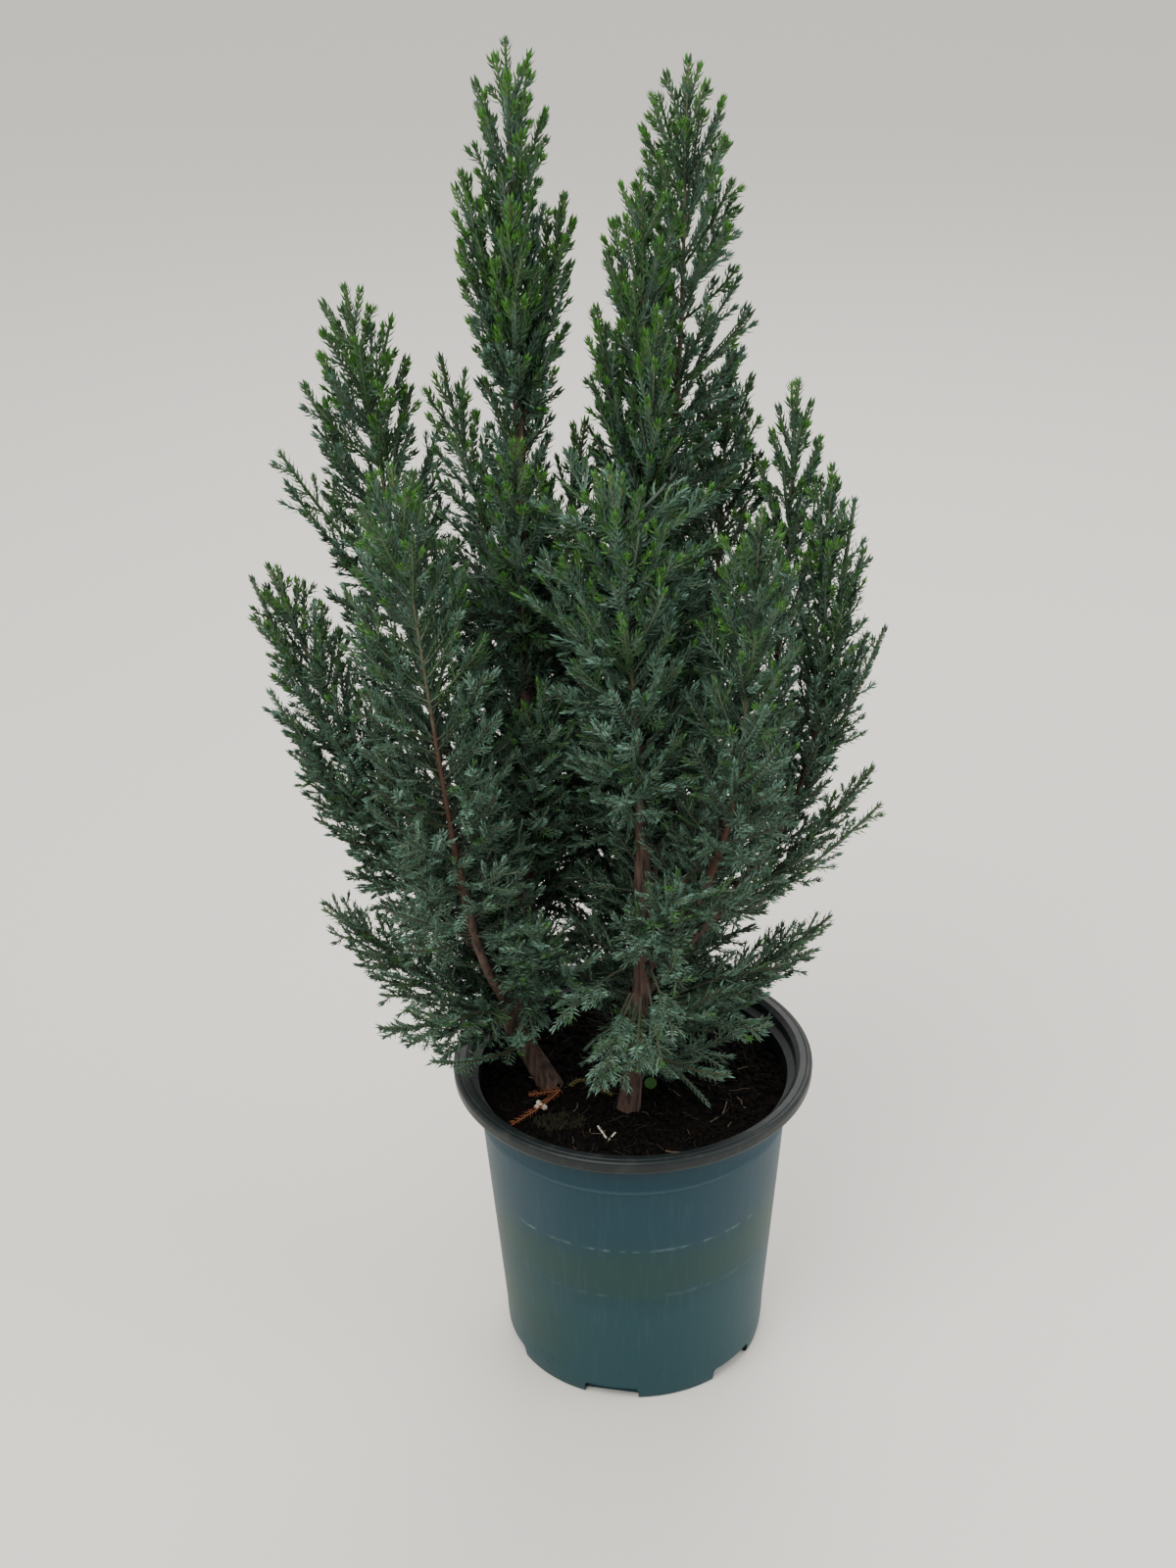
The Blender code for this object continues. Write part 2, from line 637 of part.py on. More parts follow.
def add_twig(name, root, tip, rng, allowed, taken, twigs):
    """Adds one twig, shortened until it keeps to its mass's space, or skips it. Returns its path."""
    roll = rng.uniform(0, 2)
    for share in SHORTER:
        end = root.lerp(tip, share)
        if (end - root).length < SHOOT_SHORTEST:
            return None
        path = arc_path(root, end, STAGE)
        if not all(allowed(place) for place in path[1:]):
            continue
        bm = needle_twig(path, TWIG_RADIUS, TIP_RADIUS, roll, allowed)
        tree = BVHTree.FromBMesh(bm)
        if any(tree.overlap(other) for owner, other in taken if owner != name):
            bm.free()
            continue
        taken.append((name, tree))
        object_from_bmesh("twig", bm, twigs)
        return path
    return None


def spray_stem(limb, height, tip):
    root = at_height(limb["path"], height)
    return arc_path(root, Vector(tip), 0.004)


def grow_foliage(parts, limbs, ways):
    masses = {}
    for name, way in ways.items():
        masses[f"spire_{name}"] = (way, LEADERS[name][5], LEADERS[name][6], None)
    for name, (limb, height, tip, widest, count) in SPRAYS.items():
        stem = spray_stem(limbs[limb], height, tip)
        masses[f"spray_{name}"] = (stem, widest, count, limbs[limb]["cutter"])
    for name, (limb, tip, widest, count) in LEADER_TIPS.items():
        end = limbs[limb]["path"][-1]
        onward = (Vector(tip) - end).normalized()
        masses[f"spire_{name}"] = ([end + onward * GAP, Vector(tip)], widest, count, None)
    space = Space({name: mass[0] for name, mass in masses.items()}, limbs)
    taken = []
    for name, (stem, widest, count, carrier) in masses.items():
        grow_mass(name, stem, widest, count, space, taken, parts, carrier)


def main():
    clear_scene()
    parts = bpy.data.collections.new("potted_false_cypress")
    cutters = bpy.data.collections.new("cutters")
    bpy.context.scene.collection.children.link(parts)
    bpy.context.scene.collection.children.link(cutters)
    limbs = grow_trunks(parts, cutters)
    feet = [at_height(limb["path"], GROUND) for limb in limbs.values()]
    make_pot(parts, cutters)
    make_soil(parts, feet)
    ways = grow_boughs(parts, cutters, limbs)
    grow_foliage(parts, limbs, ways)


main()
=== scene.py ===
import math
import random

import bmesh
import bpy
import numpy as np
from mathutils import Matrix, Vector, noise


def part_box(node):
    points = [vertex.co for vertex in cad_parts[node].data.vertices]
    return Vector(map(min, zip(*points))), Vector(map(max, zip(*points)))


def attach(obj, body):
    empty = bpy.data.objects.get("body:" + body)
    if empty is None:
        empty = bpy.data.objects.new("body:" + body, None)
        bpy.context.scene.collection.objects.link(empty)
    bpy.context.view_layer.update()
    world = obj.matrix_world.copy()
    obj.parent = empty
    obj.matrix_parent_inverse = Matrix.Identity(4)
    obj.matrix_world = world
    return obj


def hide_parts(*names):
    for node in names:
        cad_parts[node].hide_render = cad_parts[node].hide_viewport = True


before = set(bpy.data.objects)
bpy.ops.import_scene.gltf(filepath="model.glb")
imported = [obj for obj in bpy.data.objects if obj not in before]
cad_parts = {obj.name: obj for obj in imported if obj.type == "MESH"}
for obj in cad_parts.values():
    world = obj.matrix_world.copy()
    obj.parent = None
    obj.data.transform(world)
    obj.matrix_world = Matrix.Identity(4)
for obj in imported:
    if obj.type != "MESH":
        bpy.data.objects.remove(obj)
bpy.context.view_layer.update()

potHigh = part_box("pot")[1]
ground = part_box("trunk_left")[0].z
up = Vector((0, 0, 1))
print("frame loaded:", len(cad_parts), "nodes")


# Camera, floor and lights
view = {"place": (-0.0133, -0.665, 0.5707), "lookDown": 28.22, "roll": -1.03, "lens": 55.13}


def makeCamera():
    data = bpy.data.cameras.new("camera")
    data.lens = view["lens"]
    data.clip_start = 0.01
    camera = bpy.data.objects.new("camera", data)
    bpy.context.scene.collection.objects.link(camera)
    tilt = Matrix.Rotation(math.radians(90 - view["lookDown"]), 4, "X")
    roll = Matrix.Rotation(math.radians(view["roll"]), 4, "Z")
    camera.matrix_world = Matrix.Translation(view["place"]) @ tilt @ roll
    bpy.context.scene.camera = camera


studio = {
    "floorSize": 6.0,
    "floorColor": (0.74, 0.72, 0.67, 1),
    "worldColor": (1.0, 0.98, 0.955, 1),
    "dimColor": (0.44, 0.44, 0.44, 1),
    "worldStrength": 1.12,
    "dimRange": (-0.75, 0.25),
    # name: (place, aims at, size, watts, colour)
    "lamps": {
        "key": ((-0.45, -0.7, 1.25), (0, 0, 0.2), 0.8, 16.0, (1.0, 0.98, 0.95)),
        "side": ((0.95, -0.3, 0.7), (0, 0, 0.2), 0.9, 6.0, (0.97, 0.98, 1.0)),
        "back": ((0.15, 0.85, 1.05), (0, 0, 0.25), 0.8, 7.0, (1.0, 0.98, 0.95)),
    },
}


def makeStudio():
    bm = bmesh.new()
    bmesh.ops.create_grid(bm, x_segments=1, y_segments=1, size=studio["floorSize"])
    floor = pieceFrom(bm, "floor", plainMaterial("floor", studio["floorColor"], 0.55))
    for name, (place, aim, size, watts, color) in studio["lamps"].items():
        data = bpy.data.lights.new(name, "AREA")
        data.size, data.energy, data.color = size, watts, color
        lamp = bpy.data.objects.new(name, data)
        bpy.context.scene.collection.objects.link(lamp)
        lamp.location = place
        lamp.rotation_euler = (Vector(aim) - Vector(place)).to_track_quat("-Z", "Y").to_euler()
    world = bpy.data.worlds.new("studio")
    bpy.context.scene.world = world
    graph = Graph(world)
    # the room is dimmer on the camera's side than above, beside and behind
    ways = graph.add("SeparateXYZ", {"Vector": graph.coords["Generated"]}).outputs
    dim = graph.ranged(graph.math("ADD", ways["Y"], ways["Z"]), *studio["dimRange"])
    background = world.node_tree.nodes["Background"].inputs
    background["Strength"].default_value = studio["worldStrength"]
    graph.feed(background["Color"], graph.mixed(dim, studio["dimColor"], studio["worldColor"]))


# Shared tools


def pieceFrom(bm, name, *materials):
    mesh = bpy.data.meshes.new(name)
    bm.to_mesh(mesh)
    bm.free()
    piece = bpy.data.objects.new(name, mesh)
    bpy.context.scene.collection.objects.link(piece)
    for material in materials:
        mesh.materials.append(material)
    return piece


def dress(piece, slot, *nodes):
    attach(piece, "root")
    if nodes:
        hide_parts(*nodes)
    return piece


def plainMaterial(name, color, roughness, gloss=0.5):
    material = bpy.data.materials.new(name)
    material.use_nodes = True
    shader = material.node_tree.nodes["Principled BSDF"]
    shader.inputs["Base Color"].default_value = color
    shader.inputs["Roughness"].default_value = roughness
    shader.inputs["Specular IOR Level"].default_value = gloss
    return material


def smoothPath(points, span):
    points = [Vector(p) for p in points]
    ends = [2 * points[0] - points[1], *points, 2 * points[-1] - points[-2]]
    dense = []
    for before, start, end, after in zip(ends, ends[1:], ends[2:], ends[3:]):
        turn = 2 * before - 5 * start + 4 * end - after
        swing = 3 * start - before - 3 * end + after
        for step in range(12):
            t = step / 12
            dense.append(start + 0.5 * t * ((end - before) + turn * t + swing * t * t))
    dense.append(points[-1])
    return evenPath(dense, span)


def asArray(path):
    return np.array([tuple(p) for p in path])


def lengthsAlong(points):
    return np.concatenate([[0], np.cumsum(np.linalg.norm(np.diff(points, axis=0), axis=1))])


def placesAt(points, lengths, goals):
    return np.stack([np.interp(goals, lengths, points[:, k]) for k in range(3)], axis=1)


def evenPath(dense, span):
    points = asArray(dense)
    lengths = lengthsAlong(points)
    goals = np.linspace(0, lengths[-1], max(2, round(lengths[-1] / span)) + 1)
    return [Vector(p) for p in placesAt(points, lengths, goals)]


def arcPath(root, tip, sag, count=12):
    chord = tip - root
    bend = root + 0.5 * chord - up * sag * chord.length
    steps = [k / count for k in range(count + 1)]
    return [(1 - t) ** 2 * root + 2 * t * (1 - t) * bend + t * t * tip for t in steps]


def atHeight(path, height):
    for start, end in zip(path, path[1:]):
        if min(start.z, end.z) <= height <= max(start.z, end.z):
            return start.lerp(end, (height - start.z) / (end.z - start.z))
    return path[-1].copy()


def alongPath(path, distance):
    for end, start in zip(path[::-1], path[-2::-1]):
        length = (end - start).length
        if distance <= length:
            return end.lerp(start, distance / length)
        distance -= length
    return path[0].copy()


def pathLength(path):
    return sum((b - a).length for a, b in zip(path, path[1:]))


# Shader nodes, for materials that change with place


class Graph:
    # the nodes of one material or of the world
    def __init__(self, owner):
        owner.use_nodes = True
        self.tree = owner.node_tree
        self.coords = self.add("TexCoord", {}).outputs

    def feed(self, socket, value):
        if isinstance(value, bpy.types.NodeSocket):
            self.tree.links.new(value, socket)
        else:
            socket.default_value = value

    def add(self, kind, inputs, **settings):
        node = self.tree.nodes.new(f"ShaderNode{kind}")
        for key, value in settings.items():
            setattr(node, key, value)
        for key, value in inputs.items():
            self.feed(node.inputs[key], value)
        return node

    def math(self, kind, first, second=0.0):
        return self.add("Math", {0: first, 1: second}, operation=kind).outputs["Value"]

    def times(self, first, second):
        return self.math("MULTIPLY", first, second)

    def noise(self, scale, detail, stretch=(1, 1, 1)):
        place = self.add("Mapping", {"Vector": self.coords["Object"], "Scale": stretch}).outputs["Vector"]
        return self.add("TexNoise", {"Vector": place, "Scale": scale, "Detail": detail}).outputs["Fac"]

    def ranged(self, value, low, high, start=0.0, end=1.0):
        inputs = {"Value": value, "From Min": low, "From Max": high, "To Min": start, "To Max": end}
        return self.add("MapRange", inputs, interpolation_type="SMOOTHSTEP").outputs["Result"]

    def mixed(self, factor, first, second):
        inputs = {"Factor": factor, "A": first, "B": second}
        return self.add("Mix", inputs, data_type="RGBA").outputs["Result"]

    def paint(self, color, height=None, strength=0.0, distance=0.0):
        shader = self.tree.nodes["Principled BSDF"].inputs
        self.feed(shader["Base Color"], color)
        if height is not None:
            bump = self.add("Bump", {"Height": height, "Strength": strength, "Distance": distance})
            self.feed(shader["Normal"], bump.outputs["Normal"])


def mixedMaterial(name, color, roughness, gloss=0.5):
    material = plainMaterial(name, color, roughness, gloss)
    return material, Graph(material)


# Pot: a thin tapered tub with a rolled rim, a shoulder and drain pockets round its foot
pot = {
    "steps": 180,
    "wall": 0.0011,
    "floor": 0.0014,
    "rimWidth": 0.0047,
    "rimBand": 0.0046,
    "topRadius": 0.0529,
    "lowRadius": 0.0455,
    "footRadius": 0.044,
    "footHeight": 0.012,
    "shoulder": 0.0925,
    "shoulderStep": 0.0005,
    "pockets": 6,
    "pocketAngle": math.radians(-102),
    "pocketSize": (0.0042, 0.0185, 0.0048),
    "pocketRound": 0.0016,
    "teal": (0.0085, 0.036, 0.052, 1),
    "low": (0.011, 0.045, 0.054, 1),
    "green": (0.0135, 0.043, 0.037, 1),
    # light colour of the scuffs, also used for the painted highlight on the shoulder
    "scuffAndHighlight": (0.13, 0.19, 0.21, 1),
    "dirt": (0.01, 0.014, 0.012, 1),
    "charcoal": (0.0075, 0.0115, 0.012, 1),
    "dust": (0.12, 0.12, 0.11, 1),
    # rings: height, half width, strength, all round or only where the front is worn; the all-round ring on
    # the shoulder is a painted highlight, the other two are scuffs
    "rings": [(0.0928, 0.001, 0.14, True), (0.0673, 0.0007, 0.5, False), (0.047, 0.001, 0.14, False)],
}


def bodyRadius(height):
    share = (height - pot["footHeight"]) / (potHigh.z - pot["rimBand"] - pot["footHeight"])
    radius = pot["lowRadius"] + (pot["topRadius"] - pot["lowRadius"]) * share
    return radius - (0 if height > pot["shoulder"] else pot["shoulderStep"])


def arc(middle, radius, start, end, count=6):
    angles = [math.radians(start + (end - start) * k / count) for k in range(count + 1)]
    return [(middle[0] + radius * math.cos(a), middle[1] + radius * math.sin(a)) for a in angles]


def footProfile(inset, floor):
    shoulder, foot = pot["shoulder"], pot["footHeight"]
    profile = [(bodyRadius(shoulder + 0.0008) - inset, shoulder + 0.0005)]
    profile += [(bodyRadius(shoulder + 0.0008) - inset + 0.0002, shoulder)]
    profile += [(bodyRadius(shoulder) - inset, shoulder - 0.0006)]
    drop = bodyRadius(foot) - pot["footRadius"]
    for share in (0, 0.2, 0.4, 0.6, 0.8):
        profile.append((bodyRadius(foot) - drop * share ** 2 - inset, foot * (1 - share)))
    edge = pot["footRadius"] - inset
    return profile + [(edge, floor + 0.0006), (edge - 0.0006, floor), (0, floor)]


def spinRound(bm, verts, steps, merge):
    edges = [bm.edges.new(pair) for pair in zip(verts, verts[1:])]
    bmesh.ops.spin(
        bm, geom=verts + edges, cent=(0, 0, 0), axis=(0, 0, 1), angle=math.tau, steps=steps, use_merge=True
    )
    bmesh.ops.remove_doubles(bm, verts=bm.verts, dist=merge)


def turnedSolid(name, profile):
    bm = bmesh.new()
    spinRound(bm, [bm.verts.new((radius, 0, height)) for radius, height in profile], pot["steps"], 0.00001)
    bmesh.ops.dissolve_degenerate(bm, edges=bm.edges, dist=0.000001)
    bmesh.ops.recalc_face_normals(bm, faces=bm.faces)
    return pieceFrom(bm, name)


def pocketCutter(inset):
    bm = bmesh.new()
    for number in range(pot["pockets"]):
        cube = bmesh.ops.create_cube(bm, size=1.0)["verts"]
        depth, width, height = pot["pocketSize"]
        size = (2 * (depth + inset), width + 2 * inset, 2 * (height + inset))
        bmesh.ops.scale(bm, verts=cube, vec=size)
        edges = {edge for vert in cube for edge in vert.link_edges}
        upper = [edge for edge in edges if all(v.co.z > 0 for v in edge.verts)]
        sides = [edge for edge in upper if edge.verts[0].co.y * edge.verts[1].co.y > 0]
        rounding = pot["pocketRound"] + inset
        made = bmesh.ops.bevel(
            bm, geom=sides, offset=rounding, segments=4, profile=0.5, affect="EDGES", material=-1
        )
        verts = {vert for vert in cube if vert.is_valid} | set(made["verts"])
        turn = Matrix.Rotation(pot["pocketAngle"] + number * math.tau / pot["pockets"], 4, "Z")
        bmesh.ops.transform(
            bm, matrix=turn @ Matrix.Translation((pot["footRadius"] + 0.0006, 0, 0)), verts=list(verts)
        )
    return pieceFrom(bm, "pockets")


def carve(piece, *cutters):
    for cutter in cutters:
        modifier = piece.modifiers.new("carve", "BOOLEAN")
        modifier.operation = "DIFFERENCE"
        modifier.solver = "EXACT"
        modifier.object = cutter
    graph = bpy.context.evaluated_depsgraph_get()
    carved = bpy.data.meshes.new_from_object(piece.evaluated_get(graph))
    piece.modifiers.clear()
    piece.data = carved
    for cutter in cutters:
        bpy.data.objects.remove(cutter)


def potPlastic():
    material, graph = mixedMaterial("potPlastic", pot["teal"], 0.45, 0.2)
    x, y, z = graph.add("SeparateXYZ", {"Vector": graph.coords["Object"]}).outputs
    cloud = graph.noise(38, 3)
    wavy = graph.math("ADD", z, graph.times(graph.math("SUBTRACT", cloud, 0.5), 0.01))
    color = graph.mixed(graph.ranged(wavy, 0.036, 0.05), pot["low"], pot["teal"])
    # a green band round the pot, which spreads down on its left
    band = graph.times(graph.ranged(wavy, 0.04, 0.052), graph.ranged(wavy, 0.057, 0.073, 1.0, 0.0))
    left = graph.times(graph.ranged(x, -0.012, -0.04), graph.ranged(wavy, 0.058, 0.068, 1.0, 0.0))
    faded = graph.math("MAXIMUM", band, graph.times(left, graph.ranged(cloud, 0.35, 0.6)))
    color = graph.mixed(graph.times(faded, 0.85), color, pot["green"])
    streaks = graph.ranged(graph.noise(700, 2, (1, 1, 0.05)), 0.5, 0.8, 0.0, 0.05)
    color = graph.mixed(streaks, color, pot["scuffAndHighlight"])
    worn = graph.times(graph.ranged(y, -0.018, -0.034), graph.ranged(graph.noise(300, 6), 0.4, 0.72))
    # the shoulder ring is a painted highlight all round; the lower rings are scuffs where the front is worn
    rings = 0.0
    for height, halfWidth, strength, allRound in pot["rings"]:
        away = graph.math("ABSOLUTE", graph.math("SUBTRACT", z, height))
        ring = graph.times(graph.ranged(away, halfWidth * 0.3, halfWidth, 1.0, 0.0), strength)
        rings = graph.math("MAXIMUM", rings, ring if allRound else graph.times(ring, worn))
    color = graph.mixed(rings, color, pot["scuffAndHighlight"])
    low = graph.ranged(z, 0.004, 0.024, 1.0, 0.0)
    specks = graph.times(graph.ranged(graph.noise(620, 2), 0.69, 0.73), low)
    graph.paint(graph.mixed(specks, color, pot["dirt"]), graph.noise(260, 5), 0.05, 0.0004)
    return material


def rimPlastic():
    material, graph = mixedMaterial("rimPlastic", pot["charcoal"], 0.4, 0.25)
    dusty = graph.ranged(graph.noise(240, 5), 0.45, 0.75, 0.0, 0.1)
    graph.paint(graph.mixed(dusty, pot["charcoal"], pot["dust"]))
    return material


def makePot():
    top, under = potHigh.z, potHigh.z - pot["rimBand"]
    rim = potHigh.x
    lip = rim - pot["rimWidth"]
    outer = [(0, top), (lip + 0.001, top), (rim - 0.0022, top), (rim - 0.0019, top - 0.0002)]
    outer += arc((rim - 0.0013, top - 0.0013), 0.0013, 100, 0)
    outer += [(rim - 0.0001, under + 0.0014), *arc((rim - 0.0011, under + 0.001), 0.001, 0, -90, 4)]
    outer += [(rim - 0.0018, under + 0.0004), (pot["topRadius"], under - 0.0006), *footProfile(0, 0)]
    inner = [(0, top + 0.002), (lip + 0.0006, top + 0.002), (lip + 0.0006, top)]
    inner += [(lip + 0.0001, top - 0.0004), (lip - 0.0008, top - 0.0014), (lip - 0.0011, under)]
    inner += [(pot["topRadius"] - pot["wall"], under - 0.001), *footProfile(pot["wall"], pot["floor"])]
    piece = turnedSolid("potBody", outer)
    hollow = turnedSolid("potHollow", inner)
    carve(hollow, pocketCutter(pot["wall"]))
    carve(piece, pocketCutter(0), hollow)
    mesh = piece.data
    mesh.materials.clear()
    mesh.materials.append(potPlastic())
    mesh.materials.append(rimPlastic())
    for face in mesh.polygons:
        outward = face.normal.xy.dot(face.center.xy.normalized()) if face.center.xy.length > 0.001 else 0
        inside = outward < -0.2 and face.center.xy.length > pot["footRadius"] - 0.001
        face.material_index = 1 if inside or face.center.z > under - 0.0004 else 0
    mesh.shade_smooth()
    mesh.set_sharp_from_angle(angle=math.radians(32))
    dress(piece, "pot", "pot")


# Soil: a crumbly surface with loose clods, fibres, moss and the litter that lies on it
soil = {
    "seed": 31,
    "level": 0.1008,
    "rings": 70,
    "steps": 200,
    "relief": 0.0017,
    "mound": 0.007,
    "feet": [(-0.0283, -0.0016), (-0.0019, -0.0163)],
    "clods": 4200,
    "clodSize": (0.0003, 0.0015),
    "fibres": 140,
    "fibreLength": (0.002, 0.0085),
    "fibreRadius": (0.00008, 0.00022),
    "fibreReach": 0.05,
    "tufts": 520,
    "black": (0.0032, 0.0029, 0.0028, 1),
    "brown": (0.0085, 0.0066, 0.0052, 1),
    "tan": (0.1, 0.07, 0.042, 1),
    "pale": (0.55, 0.5, 0.4, 1),
    "moss": (0.022, 0.023, 0.008, 1),
    "mossPlace": (-0.0248, -0.023),
    "mossSize": (0.0085, 0.005),
    "leaf": (0.04, 0.12, 0.025, 1),
    # straws by colour: points on the ground, half width
    "straws": {
        "pale": [([(-0.0121, -0.0259), (-0.009, -0.034)], 0.00045),
                 ([(-0.0064, -0.0302), (-0.0086, -0.0338)], 0.0004)],
        "tan": [([(0.0248, -0.0249), (0.0289, -0.0207), (0.0309, -0.0136)], 0.00022),
                ([(-0.035, 0.001), (-0.0322, -0.0005), (-0.029, 0.0006)], 0.0003),
                ([(0.0095, -0.04), (0.0117, -0.0408), (0.015, -0.0412)], 0.00032)],
    },
    # dead twigs with needles by colour: points on the ground
    "deadTwigs": {
        "rust": [[(-0.0243, -0.0075), (-0.031, -0.016), (-0.0403, -0.0261)],
                 [(-0.0243, -0.0075), (-0.029, -0.009), (-0.035, -0.0095)]],
        "yellow": [[(-0.0215, -0.005), (-0.0187, -0.0015), (-0.016, -0.002)],
                   [(-0.013, -0.006), (-0.0096, -0.0079), (-0.007, -0.011)]],
    },
    "deadNeedle": (0.0018, 0.003),
    "rust": (0.23, 0.075, 0.028, 1),
    "yellow": (0.085, 0.07, 0.018, 1),
    "crumbs": [(-0.0308, -0.0145), (-0.0322, -0.0156), (-0.0297, -0.0152), (-0.0316, -0.0135)],
    # round leaves: place on the ground, radius
    "leaves": [((0.0058, -0.0062), 0.0021), ((0.0037, 0.0007), 0.001)],
}


def soilHeight(x, y):
    place = Vector((x, y, 0))
    rough = noise.fractal(place * 95, 0.9, 2.1, 4) * 0.5 + noise.fractal(place * 420, 0.8, 2.2, 3) * 0.22
    away = [(x - footX) ** 2 + (y - footY) ** 2 for footX, footY in soil["feet"]]
    mound = sum(math.exp(-square / soil["mound"] ** 2) for square in away)
    return soil["level"] - soil["relief"] * (0.45 - rough - 0.9 * mound)


def onSoil(x, y, lift):
    return Vector((x, y, soilHeight(x, y) + lift))


def soilMaterial(name, color, other):
    material, graph = mixedMaterial(name, color, 0.95, 0.05)
    spots = graph.ranged(graph.noise(900, 5), 0.4, 0.7)
    graph.paint(graph.mixed(spots, color, other), graph.noise(1440, 6), 0.6, 0.0004)
    return material


def layTwigs(name, twigs, color, roughness):
    dress(makeTwigs(name, twigs, plainMaterial(name, color, roughness)), "soil")


def makeSoil():
    rng = random.Random(soil["seed"])
    reach = bodyRadius(soil["level"]) - pot["wall"] + 0.0002
    bm = bmesh.new()
    radii = [reach * k / soil["rings"] for k in range(soil["rings"] + 1)]
    verts = [bm.verts.new((radius, 0, 0)) for radius in radii] + [bm.verts.new((reach, 0, -0.006))]
    spinRound(bm, verts, soil["steps"], 0.000005)
    for vert in bm.verts:
        vert.co.z += soilHeight(vert.co.x, vert.co.y)
    bmesh.ops.recalc_face_normals(bm, faces=bm.faces)
    black = soilMaterial("soilBlack", soil["black"], soil["brown"])
    piece = pieceFrom(bm, "soilSurface", black)
    piece.data.shade_smooth()
    dress(piece, "soil", "soil")

    def onGround(margin):
        radius = (reach - margin) * math.sqrt(rng.random())
        angle = rng.uniform(0, math.tau)
        return radius * math.cos(angle), radius * math.sin(angle)

    small, large = soil["clodSize"]
    brown = soilMaterial("soilBrown", soil["brown"], soil["black"])
    for name, share, shade in (("Black", 0.8, black), ("Brown", 0.2, brown)):
        count = round(soil["clods"] * share)
        places = [onGround(0.0012) for _ in range(count)]
        sizes = [rng.uniform(0, 1) ** 3 * (large - small) + small for _ in range(count)]
        origins = asArray(onSoil(x, y, size * 0.15) for (x, y), size in zip(places, sizes))
        axes = np.array([randomAxes(rng, size) for size in sizes]).transpose(1, 0, 2)
        dress(joinedMesh(f"soilClods{name}", *spread(clodPrototype(rng), origins, *axes), shade), "soil")
    makeFibres(rng, onGround)
    makeLitter(rng)


def randomAxes(rng, size):
    turn = Matrix.Rotation(
        rng.uniform(0, math.tau), 3, (rng.gauss(0, 1), rng.gauss(0, 1), rng.gauss(0, 1) + 0.01)
    )
    stretch = [size * rng.uniform(0.7, 1.3) for _ in range(3)]
    return [tuple(turn.col[k] * stretch[k]) for k in range(3)]


def clodPrototype(rng):
    bm = bmesh.new()
    bmesh.ops.create_icosphere(bm, subdivisions=1, radius=1)
    for vert in bm.verts:
        vert.co *= rng.uniform(0.7, 1.25)
    return arraysOf(bm)


def arraysOf(bm):
    bmesh.ops.triangulate(bm, faces=bm.faces)
    bm.verts.ensure_lookup_table()
    verts = np.array([tuple(v.co) for v in bm.verts])
    faces = np.array([[v.index for v in f.verts] for f in bm.faces])
    bm.free()
    return verts, faces


def makeFibres(rng, onGround):
    twigs = {"brown": [], "tan": []}
    for number in range(soil["fibres"]):
        place = Vector(onGround(0.006))
        length = rng.uniform(*soil["fibreLength"])
        angle = rng.uniform(0, math.tau)
        points = []
        for k in range(4):
            x, y = place + Vector((math.cos(angle), math.sin(angle))) * length * k / 3
            inward = min(1.0, soil["fibreReach"] / math.hypot(x, y))
            points.append(onSoil(x * inward, y * inward, 0.0004 + rng.uniform(0, 0.0007)))
            angle += rng.uniform(-0.3, 0.3)
        kind = "brown" if number % 6 else "tan"
        twigs[kind].append((asArray(points), rng.uniform(*soil["fibreRadius"])))
    for name, group in twigs.items():
        layTwigs(f"soilFibres{name.title()}", group, soil[name], 0.9)


